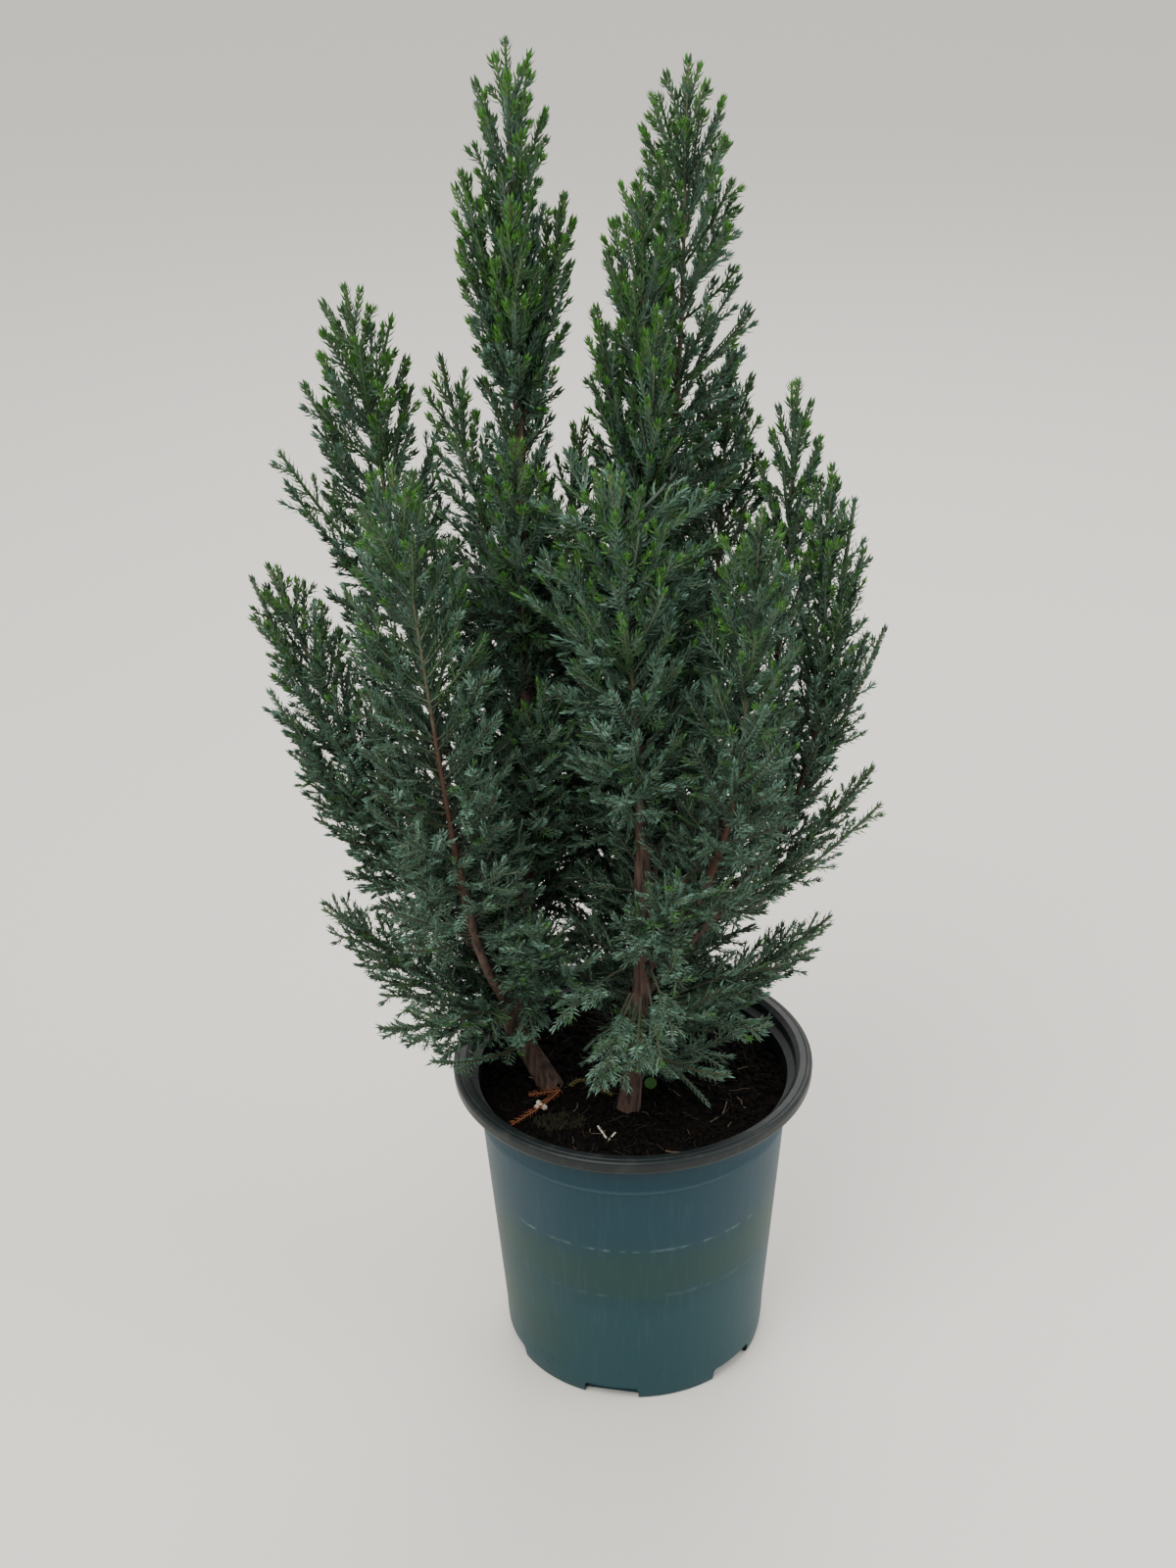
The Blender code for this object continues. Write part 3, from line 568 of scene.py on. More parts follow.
def makeLitter(rng):
    for shade, straws in soil["straws"].items():
        twigs = []
        for points, halfWidth in straws:
            path = [onSoil(x, y, 0.0008) for x, y in points]
            twigs.append((asArray(smoothPath(path, 0.0012) if len(path) > 2 else path), halfWidth))
        layTwigs(f"straws{shade.title()}", twigs, soil[shade], 0.8)
    bm = bmesh.new()
    for x, y in soil["crumbs"]:
        radius = rng.uniform(0.0006, 0.0011)
        crumb = bmesh.ops.create_icosphere(bm, subdivisions=2, radius=radius)["verts"]
        for vert in crumb:
            vert.co *= 1 + 0.35 * noise.noise(vert.co * 1500 + Vector((x, y, 0)) * 900)
        bmesh.ops.translate(bm, verts=crumb, vec=onSoil(x, y, 0.0012))
    dress(pieceFrom(bm, "crumbs", plainMaterial("crumb", soil["pale"], 0.9)), "soil")
    bm = bmesh.new()
    for (x, y), radius in soil["leaves"]:
        leaf = bmesh.ops.create_circle(bm, cap_ends=True, segments=14, radius=radius)["verts"]
        turn = Matrix.Translation(onSoil(x, y, 0.0032)) @ Matrix.Rotation(0.5, 4, "X")
        bmesh.ops.transform(bm, matrix=turn, verts=leaf)
        stalk = bmesh.ops.create_cone(
            bm, cap_ends=True, segments=5, radius1=0.0002, radius2=0.0002, depth=0.0034
        )["verts"]
        bmesh.ops.translate(bm, verts=stalk, vec=onSoil(x, y, 0.0015))
    dress(pieceFrom(bm, "roundLeaves", plainMaterial("roundLeaf", soil["leaf"], 0.45)), "soil")
    for shade, group in soil["deadTwigs"].items():
        rows, twigs = [], []
        for points in group:
            path = smoothPath([onSoil(x, y, 0.0018) for x, y in points], 0.0012)
            twigs.append((asArray(path), 0.0003))
            for start, end in zip(path, path[1:]):
                forward = (end - start).normalized()
                for sign in (1, -1):
                    lean = Vector((-forward.y, forward.x, rng.uniform(-0.1, 0.6))) * sign
                    lean.z = abs(lean.z)
                    direction = (forward + lean * rng.uniform(0.7, 1.3)).normalized()
                    size = rng.uniform(*soil["deadNeedle"])
                    rows.append([*start, *direction, *lean.normalized(), size, 0.0006])
        material = plainMaterial(f"litter{shade.title()}", soil[shade], 0.8)
        dress(makeTwigs(f"deadTwigs{shade.title()}", twigs, material), "soil")
        dress(makeNeedles(f"deadNeedles{shade.title()}", np.array(rows), material), "soil")
    tufts = []
    for _ in range(soil["tufts"]):
        radius, angle = math.sqrt(rng.random()), rng.uniform(0, math.tau)
        x = soil["mossPlace"][0] + soil["mossSize"][0] * radius * math.cos(angle)
        y = soil["mossPlace"][1] + soil["mossSize"][1] * radius * math.sin(angle)
        foot = onSoil(x, y, 0)
        top = foot + Vector((rng.gauss(0, 0.0004), rng.gauss(0, 0.0004), rng.uniform(0.0008, 0.0017)))
        tufts.append((asArray([foot, top]), 0.00016))
    layTwigs("moss", tufts, soil["moss"], 0.95)


# Limbs: two trunks, and the boughs that leave them as leaders of their own
trunks = {
    # name: (points from under the ground to the tip, foot radius, tip radius)
    "trunk_left": (
        [(-0.0262, -0.002, 0.096), (-0.0283, -0.0016, 0.101), (-0.0395, 0, 0.1235),
         (-0.0345, 0.001, 0.163), (-0.0315, 0, 0.26), (-0.0318, 0, 0.394)],
        0.0037, 0.0009,
    ),
    "trunk_right": (
        [(-0.0028, -0.0163, 0.096), (-0.0019, -0.0163, 0.101), (0.003, -0.015, 0.15),
         (0.0035, -0.011, 0.21), (0.0056, -0.002, 0.3), (0.0045, 0, 0.362)],
        0.0035, 0.0009,
    ),
}
leaders = {
    # trunk: name: (height where it leaves, elbow, tip, bare share, widest reach, region)
    "trunk_left": {
        "front_left": (0.126, (-0.052, -0.028, 0.19), (-0.067, -0.03, 0.332), 0.34, 0.034, "left"),
        "left": (0.134, (-0.076, 0.003, 0.196), (-0.108, 0.002, 0.289), 0.3, 0.028, "left"),
        "rear_left": (0.15, (-0.064, 0.019, 0.245), (-0.0815, 0.019, 0.369), 0.3, 0.033, "leftRear"),
        "back_left": (0.142, (-0.037, 0.042, 0.205), (-0.036, 0.05, 0.316), 0.28, 0.032, "leftRear"),
    },
    "trunk_right": {
        "front": (0.196, (0.0012, -0.031, 0.252), (-0.0057, -0.03, 0.33), 0.28, 0.032, "middle"),
        "rear_right": (0.262, (0.015, 0.013, 0.336), (0.0182, 0.018, 0.432), 0.3, 0.032, "rightTop"),
        "right_inner": (0.176, (0.025, 0.016, 0.25), (0.031, 0.02, 0.347), 0.3, 0.028, "back"),
        "right": (0.158, (0.043, 0.007, 0.235), (0.0505, 0.012, 0.34), 0.32, 0.028, "right"),
        "right_outer": (0.142, (0.053, -0.006, 0.215), (0.0596, -0.005, 0.32), 0.42, 0.03, "right"),
        "front_right": (0.15, (0.0285, -0.032, 0.215), (0.0375, -0.03, 0.317), 0.3, 0.03, "right"),
        "back": (0.132, (-0.008, 0.046, 0.17), (-0.01, 0.062, 0.262), 0.28, 0.032, "back"),
        "back_right": (0.146, (0.015, 0.038, 0.208), (0.016, 0.052, 0.312), 0.28, 0.032, "back"),
    },
}
sprays = {
    # limb: name: (height where it leaves, tip, widest reach, region)
    "trunk_left": {
        "upper_left": (0.34, (-0.0455, 0.005, 0.405), 0.024, "leftTop"),
        "upper_right": (0.33, (-0.017, 0.005, 0.398), 0.024, "leftTop"),
        "upper_front": (0.335, (-0.0315, -0.014, 0.402), 0.024, "leftTop"),
        "middle_left": (0.262, (-0.054, 0.01, 0.35), 0.022, "leftTop"),
        "middle_right": (0.246, (-0.012, 0.01, 0.33), 0.022, "leftTop"),
        "middle_front": (0.262, (-0.0325, -0.024, 0.336), 0.022, "leftTop"),
        "inner_left": (0.19, (-0.025, -0.026, 0.262), 0.022, "middle"),
        "inner_rear": (0.18, (-0.02, 0.028, 0.25), 0.022, "leftTop"),
        "low_left_rim": (0.1165, (-0.064, -0.034, 0.133), 0.016, "left"),
        "low_left": (0.128, (-0.0985, -0.006, 0.176), 0.024, "left"),
        "low_left_rear": (0.13, (-0.076, 0.046, 0.2), 0.026, "leftRear"),
        "low_rear_left": (0.122, (-0.04, 0.06, 0.16), 0.024, "leftRear"),
        "front_between": (0.15, (-0.029, -0.046, 0.19), 0.024, "middle"),
        "low_between": (0.137, (-0.013, -0.036, 0.172), 0.022, "middle"),
        "low_middle_left": (0.122, (-0.036, -0.04, 0.146), 0.018, "left"),
    },
    "trunk_right": {
        "high_left": (0.296, (-0.0085, -0.003, 0.368), 0.022, "rightTop"),
        "high_front": (0.3, (0.008, -0.016, 0.371), 0.022, "rightTop"),
        "high_rear": (0.276, (-0.006, 0.015, 0.345), 0.018, "rightTop"),
        "low_rear_right": (0.124, (0.028, 0.062, 0.158), 0.024, "back"),
        "side_rear_right": (0.138, (0.056, 0.046, 0.222), 0.028, "back"),
        "low_right": (0.134, (0.064, -0.004, 0.166), 0.022, "right"),
        "low_right_rim": (0.118, (0.046, 0.006, 0.121), 0.016, "right"),
        "low_right_front": (0.126, (0.029, -0.04, 0.13), 0.02, "right"),
        "low_front": (0.14, (-0.012, -0.046, 0.13), 0.02, "middle"),
        "front_inner": (0.166, (0.013, -0.05, 0.206), 0.024, "middle"),
        "low_right_inner": (0.132, (0.027, -0.036, 0.16), 0.02, "right"),
    },
    "bough_front_left": {
        "low_left_front": (0.137, (-0.08, -0.037, 0.148), 0.02, "left"),
    },
    "bough_left": {
        "side_left": (0.168, (-0.106, 0.01, 0.228), 0.02, "left"),
    },
    "bough_right_outer": {
        "side_right": (0.168, (0.0755, -0.004, 0.22), 0.02, "right"),
        "upper_side_right": (0.186, (0.073, 0.004, 0.262), 0.02, "right"),
    },
}
leaderTips = {
    # name: (trunk, height down to which it is leafy, tip, widest reach, region)
    "top_left": ("trunk_left", 0.17, (-0.032, 0, 0.4415), 0.032, "leftTop"),
    "top_right": ("trunk_right", 0.19, (0.0044, 0, 0.4055), 0.031, "rightTop"),
}
sprigs = {
    # drooping shoots that show low in front
    # region: limb: (height where each leaves, its tip)
    "middle": {
        "trunk_right": [
            (0.158, -0.0238, -0.04, 0.1523), (0.154, -0.0135, -0.045, 0.1296),
            (0.152, -0.0095, -0.047, 0.137), (0.15, 0.0003, -0.05, 0.1395),
            (0.156, 0.008, -0.048, 0.14), (0.16, 0.0122, -0.045, 0.1475),
            (0.164, 0.015, -0.043, 0.165), (0.146, -0.004, -0.044, 0.129)],
    },
    "right": {
        "trunk_right": [
            (0.127, 0.0238, -0.0255, 0.1085), (0.131, 0.0282, -0.024, 0.1218),
            (0.135, 0.0424, -0.022, 0.1335), (0.14, 0.0357, -0.02, 0.147),
            (0.138, 0.0474, -0.02, 0.1571)],
    },
    "left": {
        "trunk_left": [
            (0.124, -0.0617, -0.024, 0.1268), (0.128, -0.0631, -0.022, 0.1335),
            (0.146, -0.0322, -0.02, 0.1307)],
    },
}
plumes = {
    # long shoots that reach out past the rest at the sides
    # region: limb: (height where each leaves, its tip)
    "leftRear": {
        "bough_rear_left": [
            (0.27, -0.1034, 0.016, 0.3193), (0.262, -0.102, 0.014, 0.3107),
            (0.3, -0.0948, 0.016, 0.34)],
    },
    "left": {
        "bough_left": [
            (0.19, -0.1134, 0.002, 0.2851), (0.176, -0.1104, 0.0, 0.248),
            (0.168, -0.104, -0.004, 0.2401)],
    },
    "right": {
        "bough_right_outer": [
            (0.205, 0.0773, -0.004, 0.2676), (0.165, 0.0781, -0.006, 0.2079),
            (0.25, 0.0668, -0.002, 0.3078), (0.225, 0.0702, -0.002, 0.2928)],
    },
}
bark = {
    "sides": 20,
    "span": 0.001,
    "relief": 0.0003,
    "buried": 0.0048,
    "flareHeight": 0.0055,
    "flare": 0.12,
    "boughShare": 0.5,
    "boughSides": 12,
    "lobes": 0.1,
    "stemSides": 7,
    "stemStep": 0.003,
    "stemRadius": 0.0014,
    "sprayRadius": 0.00085,
    "stemTip": 0.0004,
    "topStem": 0.055,
    "barkedFrom": 0.11,
    "color": (0.074, 0.04, 0.029, 1),
    "dark": (0.022, 0.014, 0.011, 1),
    "gray": (0.104, 0.082, 0.06, 1),
    "tan": (0.112, 0.12, 0.072, 1),
    "lowStem": (0.06, 0.066, 0.036, 1),
}


def barkMaterial():
    material, graph = mixedMaterial("bark", bark["color"], 0.85)
    strips = graph.noise(760, 6, (1, 1, 0.14))
    color = graph.mixed(graph.ranged(strips, 0.36, 0.52), bark["dark"], bark["color"])
    flaky = graph.times(graph.ranged(strips, 0.52, 0.68), graph.ranged(graph.noise(90, 3), 0.38, 0.62))
    graph.paint(graph.mixed(flaky, color, bark["gray"]), strips, 0.7, 0.0004)
    return material


def limbRing(ring, place, along, across, radius):
    for number, vert in enumerate(ring):
        angle = math.tau * number / len(ring)
        side = across * math.cos(angle) + along.cross(across) * math.sin(angle)
        rough = noise.fractal(Vector((side.x * 2.6, side.y * 2.6, place.z * 80)), 1.0, 2.0, 5)
        plate = noise.noise(Vector((side.x * 1.3, side.y * 1.3, place.z * 40)))
        relief = bark["relief"] * rough * min(1, radius / 0.002)
        vert.co = place + side * (radius * (1 + bark["lobes"] * plate) + relief)


def limbMesh(bm, path, radii, sides, layer=None, ages=None):
    # one ring of vertices, extruded along the path
    first = ring = bmesh.ops.create_circle(bm, cap_ends=False, segments=sides, radius=1)["verts"]
    edges = list({edge for vert in ring for edge in vert.link_edges})
    across = (path[1] - path[0]).orthogonal().normalized()
    for number, (place, radius) in enumerate(zip(path, radii)):
        along = (path[min(number + 1, len(path) - 1)] - path[max(number - 1, 0)]).normalized()
        across = (across - along * across.dot(along)).normalized()
        if number:
            grown = bmesh.ops.extrude_edge_only(bm, edges=edges)["geom"]
            fresh = {v for v in grown if isinstance(v, bmesh.types.BMVert)}
            edges = [e for e in grown if isinstance(e, bmesh.types.BMEdge) and set(e.verts) <= fresh]
            ring = [next(e.other_vert(v) for e in v.link_edges if e.other_vert(v) in fresh) for v in ring]
        limbRing(ring, place, along, across, radius)
        if layer is not None:
            for vert in ring:
                vert[layer] = ages[number]
    for end in (first, ring):
        loop = {e for v in end for e in v.link_edges if e.is_boundary}
        bmesh.ops.edgeloop_fill(bm, edges=list(loop))


def finishLimb(bm, name, material):
    bmesh.ops.recalc_face_normals(bm, faces=bm.faces)
    piece = pieceFrom(bm, name, material)
    piece.data.shade_smooth()
    return piece


def growLimbs(material):
    limbs = {}
    bm = bmesh.new()
    for name, (points, foot, tip) in trunks.items():
        # the part below the third point is smoothed by itself, so it keeps its lean out of the ground
        path = smoothPath(points[:3], bark["span"])[:-1]
        path += [place for place in smoothPath(points, bark["span"]) if place.z > points[2][2]]
        path = [place for place in path if place.z > ground - bark["buried"]]
        top = points[-1][2] - ground
        radii = []
        for place in path:
            above = max(0.0, place.z - ground)
            flare = 1 + bark["flare"] * math.exp(-above / bark["flareHeight"])
            radii.append((foot + (tip - foot) * above / top) * flare)
        limbMesh(bm, path, radii, bark["sides"])
        limbs[name] = (path, radii)
    dress(finishLimb(bm, "trunkBark", material), "bark", *trunks)
    bm = bmesh.new()
    for trunk, group in leaders.items():
        trunkPath, trunkRadii = limbs[trunk]
        for name, (height, elbow, tip, bare, *_) in group.items():
            way = smoothPath([atHeight(trunkPath, height), elbow, tip], 0.002)
            path = way[: round(bare * (len(way) - 1)) + 1]
            nearest = min(range(len(trunkPath)), key=lambda k: abs(trunkPath[k].z - height))
            foot = trunkRadii[nearest] * bark["boughShare"]
            radii = [foot + (bark["stemRadius"] - foot) * k / (len(path) - 1) for k in range(len(path))]
            limbMesh(bm, path, radii, bark["boughSides"])
            limbs[f"bough_{name}"] = (way, radii)
    boughs = [name for name in limbs if name.startswith("bough")]
    dress(finishLimb(bm, "boughBark", material), "bark", *boughs)
    return limbs


# Foliage: every mass is a stem with shoots, branchlets on the shoots and needles on all of them
growth = {
    "seed": 20,
    "goldenAngle": math.radians(137.5),
    "tipShare": 0.45,
    "tipHalf": 0.007,
    "reachHalf": 0.12,
    "columnReach": 0.0094,
    "columnVaries": (0.75, 1.1),
    "shootAngle": (math.radians(23), math.radians(54)),
    "wideBelow": 0.11,
    "shootSag": 0.13,
    "shootRadius": 0.0005,
    "shootShortest": 0.003,
    "tipRadius": 0.0004,
    "tipShoot": 0.03,
    "stemStep": 0.002,
    "leafyPart": (0.01, 0.94),
    "reachVaries": (0.8, 1.1),
    "angleVaries": (0.85, 1.15),
    "bare": 0.007,
    # each pair is for a loose low shoot and a tight upper one
    "shootGap": (0.0017, 0.0025),
    "branchGap": (0.0026, 0.0048),
    "branchAngle": (math.radians(50), math.radians(33)),
    "branchShare": (0.44, 0.36),
    "branchLongest": 0.013,
    "branchShortest": 0.0034,
    "branchRadius": 0.00034,
    "branchBend": 0.55,
    # the part of a shoot that carries branchlets, and of a branchlet that carries its own
    "branchSpan": (0.3, 0.93),
    "twigletSpan": (0.2, 0.93),
    "forkedFrom": 0.0085,
    "twigletGap": 0.0034,
    # spires whose stem shows in front between these depths below the tip
    "openStems": {"spire_front_left": (0.024, 0.086), "spire_top_left": (0.1, 0.16),
                  "spire_top_right": (0.11, 0.16)},
    # how far down from its tip a stem carries needles of its own, and where that is further
    "needledLength": 0.06,
    "needled": {"spire_front": 0.125, "spire_front_left": 0.08},
    # masses with fewer shoots, and how many times wider their gaps are
    "sparse": {"spray_low_middle_left": 9.0, "spray_low_left_rim": 4.5, "spray_low_between": 2.6,
               "spray_low_front": 2.8, "spray_low_right_front": 9.0, "spray_low_right_inner": 2.8,
               "spray_low_right_rim": 3.2, "spray_front_between": 1.2, "spray_low_left_front": 1.6,
               "spire_top_left": 0.84, "spire_front": 0.88,
               "spire_right_outer": 1.5, "spire_right": 1.2, "spray_side_right": 1.4,
               "spray_upper_side_right": 1.4},
    # masses this sparse have shorter shoots
    "thinFrom": 4.0,
    "thinReach": 0.65,
    # masses this sparse, and sprigs that end this low, are single shoots without branchlets
    "singleFrom": 8.0,
    "singleBelow": 0.124,
    # masses with shorter shoots than their solid, and by how much
    "slim": {"spire_right_outer": 0.48, "spire_right": 0.8, "spray_side_right": 0.55,
             "spray_upper_side_right": 0.5, "spray_low_right": 0.85},
    # upper sprays have shorter shoots, and spires on boughs have more
    "airyReach": 0.6,
    "airyAbove": 0.36,
    "fuller": 1.32,
    # between these heights shoots change from loose and spread to tight and upright
    "loose": 0.18,
    "tight": 0.37,
    "freshDepth": 0.047,
    "freshLength": (0.003, 0.0075),
}
needles = {
    # each pair is for a loose low shoot and a tight upper one
    "length": (0.003, 0.0037),
    "width": (0.00058, 0.00096),
    "lean": (math.radians(54), math.radians(30)),
    "facingLean": (math.radians(32), math.radians(29)),
    "facingSize": (0.66, 1.0),
    "pairGap": (0.0009, 0.00116),
    "keel": 0.35,
    "widestAt": 0.4,
    "stemLean": math.radians(36),
    "tipLean": math.radians(15),
    "tipPairs": (0.0014, 0.0009, 0.0004),
    "tipReach": 0.0026,
}
tints = {
    # name: colour of one kind of needle
    "deep": (0.02, 0.051, 0.03, 1),
    "blue": (0.064, 0.136, 0.09, 1),
    "pale": (0.125, 0.236, 0.175, 1),
    "green": (0.043, 0.118, 0.036, 1),
    "fresh": (0.056, 0.18, 0.024, 1),
    "brown": (0.07, 0.042, 0.02, 1),
}
twigLooks = {"old": ((0.046, 0.052, 0.03, 1), 0.8), "young": ((0.085, 0.12, 0.07, 1), 0.7)}
fillers = {
    # dark shoots that close the space behind the trunks; those of the back region take mostly the deep tint
    # as painted shade
    # region: (limb, from height, to height, reach, count)
    "back": [("trunk_left", 0.128, 0.27, 0.032, 64), ("trunk_right", 0.132, 0.27, 0.032, 70),
             ("bough_front_left", 0.15, 0.23, 0.024, 26), ("bough_left", 0.15, 0.22, 0.022, 20),
             ("bough_back", 0.13, 0.2, 0.018, 26), ("bough_right", 0.165, 0.23, 0.022, 20)],
    "middle": [("trunk_left", 0.17, 0.27, 0.028, 34), ("trunk_right", 0.17, 0.27, 0.024, 26),
               ("bough_front", 0.225, 0.315, 0.032, 54)],
}
regions = ["left", "leftRear", "leftTop", "middle", "rightTop", "right", "back"]


def unit(vectors):
    return vectors / np.maximum(np.linalg.norm(vectors, axis=-1, keepdims=True), 1e-12)


def crossways(directions):
    helper = np.where(np.abs(directions[:, 2:3]) < 0.9, [[0, 0, 1.0]], [[1.0, 0, 0]])
    return unit(np.cross(directions, helper))


class Spray:
    # collects the shoots of one mass, and the needles on them by tint
    def __init__(self, name, dark=False):
        self.rng = random.Random(f"{growth['seed']}{name}")
        # dark: mostly deep needles, painted shade for shoots behind the trunks
        self.dark = dark
        self.twigs = {"old": [], "young": []}
        self.needles = {tint: [] for tint in tints}


def tightness(height):
    return min(1.0, max(0.0, (height - growth["loose"]) / (growth["tight"] - growth["loose"])))


def between(pair, share):
    return pair[0] + (pair[1] - pair[0]) * share


def reachShare(below):
    near, far = growth["tipHalf"], growth["reachHalf"]
    return growth["tipShare"] * below / (below + near) + (1 - growth["tipShare"]) * below / (below + far)


def lastPart(path, length, count=6):
    return [alongPath(path, length * (1 - k / count)) for k in range(count + 1)]


def massStems(limbs):
    # name of each mass: (stem, widest reach, bare length at its foot, region)
    masses = {}
    for group in leaders.values():
        for name, (*_, bare, widest, region) in group.items():
            way = limbs[f"bough_{name}"][0]
            leafy = bare * (0.35 if name.startswith("back") else 0.75)
            masses[f"spire_{name}"] = (way[round(leafy * (len(way) - 1)):], widest, 0.001, region)
    for limb, group in sprays.items():
        for name, (height, tip, widest, region) in group.items():
            stem = arcPath(atHeight(limbs[limb][0], height), Vector(tip), growth["shootSag"])
            masses[f"spray_{name}"] = (stem, widest, growth["bare"], region)
    for name, (trunk, leafyFrom, tip, widest, region) in leaderTips.items():
        stem = [p for p in limbs[trunk][0] if p.z > leafyFrom] + [Vector(tip)]
        masses[f"spire_{name}"] = (stem, widest, 0.0, region)
    return masses


def stemMaterial(name, young):
    material, graph = mixedMaterial(name, young, 0.75, 0.2)
    age = graph.add("Attribute", {}, attribute_name="age").outputs["Fac"]
    patchy = graph.times(graph.math("SUBTRACT", graph.noise(520, 5), 0.5), 0.7)
    old = graph.ranged(graph.math("ADD", age, patchy), 0.44, 0.9)
    graph.paint(graph.mixed(old, young, bark["color"]), graph.noise(900, 4, (1, 1, 0.2)), 0.4, 0.0002)
    return material


def growStems(masses):
    # each mass's own stem, greenish near its tip and barked further down
    step = bark["stemStep"]
    for kind, young, foot in (("spire", bark["tan"], bark["stemRadius"]),
                              ("spray", bark["lowStem"], bark["sprayRadius"])):
        bm = bmesh.new()
        layer = bm.verts.layers.float.new("age")
        for name, (stem, *_) in masses.items():
            if not name.startswith(kind):
                continue
            if name.startswith("spire_top"):
                stem = [p for p in stem if p.z > stem[-1].z - bark["topStem"]]
            path = evenPath(stem, step)
            last, tip = len(path) - 1, bark["stemTip"]
            radii = [tip + (foot - tip) * (1 - k / last) ** 2.1 for k in range(last + 1)]
            ages = [min(1.0, (last - k) * step / bark["barkedFrom"]) for k in range(last + 1)]
            limbMesh(bm, path, radii, bark["stemSides"], layer, ages)
        dress(finishLimb(bm, f"{kind}Stems", stemMaterial(f"{kind}Stem", young)), "bark")


def growMass(name, stem, widest, bare):
    spray = Spray(name)
    rng = spray.rng
    stem = evenPath(stem, growth["stemStep"])
    length = pathLength(stem)
    high = tightness(stem[-1].z)
    top, spire = name.startswith("spire_top"), name.startswith("spire")
    sparse = growth["sparse"].get(name, 1.0)
    dense = growth["fuller"] if spire and not top else 1
    count = max(5, round(length / between(growth["shootGap"], high) / sparse * dense))
    shown = growth["openStems"].get(name, (0, 0))
    turn = rng.uniform(0, math.tau)
    tipPath = lastPart(stem, min(length * 0.7, growth["tipShoot"]))
    addShoot(spray, tipPath, growth["tipRadius"], 0.0, high, 0)
    addStemNeedles(spray, stem, growth["needled"].get(name, growth["needledLength"]))
    for number in range(count):
        below = length * between(growth["leafyPart"], (number + 0.5) / count)
        reach = widest * reachShare(below + 0.001) * rng.uniform(*growth["reachVaries"])
        angle = between(growth["shootAngle"], min(1.0, below / growth["wideBelow"]))
        angle *= rng.uniform(*growth["angleVaries"])
        middle = alongPath(stem, below)
        root = alongPath(stem, min(length - bare, below + reach / math.tan(angle)))
        heading = middle - root
        heading = heading.normalized() if heading.length > 1e-6 else up.copy()
        side = heading.orthogonal().normalized()
        spin = turn + number * growth["goldenAngle"] + rng.uniform(-0.3, 0.3)
        side.rotate(Matrix.Rotation(spin, 3, heading))
        if shown[0] < below < shown[1] and side.y < -0.5:
            # turned aside so that the stem shows from the front
            side = Vector((math.copysign(1.0, side.x), side.y * 0.4, side.z)).normalized()
        reach *= growth["slim"].get(name, 1.0) * (growth["thinReach"] if sparse > growth["thinFrom"] else 1)
        if top:
            reach = min(reach, growth["columnReach"] * rng.uniform(*growth["columnVaries"]))
        elif not spire and stem[-1].z > growth["airyAbove"]:
            reach *= growth["airyReach"]
        tip = middle + side * reach
        if (tip - root).length < growth["shootShortest"]:
            continue
        path = arcPath(root, tip, growth["shootSag"], 7)
        freshness = math.exp(-(below / growth["freshDepth"]) ** 2) * rng.uniform(0.5, 1.0)
        freshness *= 0.12 + 0.88 * tightness(tip.z)
        inner = 0.03 + 0.09 * min(1.0, below / 0.1)
        addShoot(spray, path, growth["shootRadius"], inner, freshness, below)
        if sparse < growth["singleFrom"]:
            addBranchlets(spray, path, freshness, 2, below)
    return spray


def growFiller(spray, limbPath, low, high, reach, count):
    rng = spray.rng
    turn = rng.uniform(0, math.tau)
    for number in range(count):
        root = atHeight(limbPath, low + (high - low) * (number + 0.5) / count)
        angle = turn + number * growth["goldenAngle"]
        side = Vector((math.cos(angle), math.sin(angle), 0))
        side.y = side.y if side.y > -0.1 else abs(side.y)
        tip = root + (side + up * rng.uniform(0.2, 0.8)) * reach * rng.uniform(0.6, 1.0)
        path = arcPath(root, tip, growth["shootSag"], 7)
        freshness = 0.35 * tightness(tip.z)
        addShoot(spray, path, growth["tipRadius"], 0.1, freshness, 0.05)
        addBranchlets(spray, path, freshness, 2, 0.05)


def addStemNeedles(spray, stem, needled):
    # spread needles that stay on the young part of the stem itself
    points = asArray(stem)
    lengths = lengthsAlong(points)
    goals = np.arange(max(0.002, lengths[-1] - needled), lengths[-1], 0.001)
    spin = np.arange(len(goals)) * growth["goldenAngle"]
    size, width = needles["length"][1], needles["width"][1]
    base, forward = placesAt(points, lengths, goals), waysAt(points, lengths, goals)
    spray.needles["blue"].append(needleRows(base, forward, spin, needles["stemLean"], size, width))


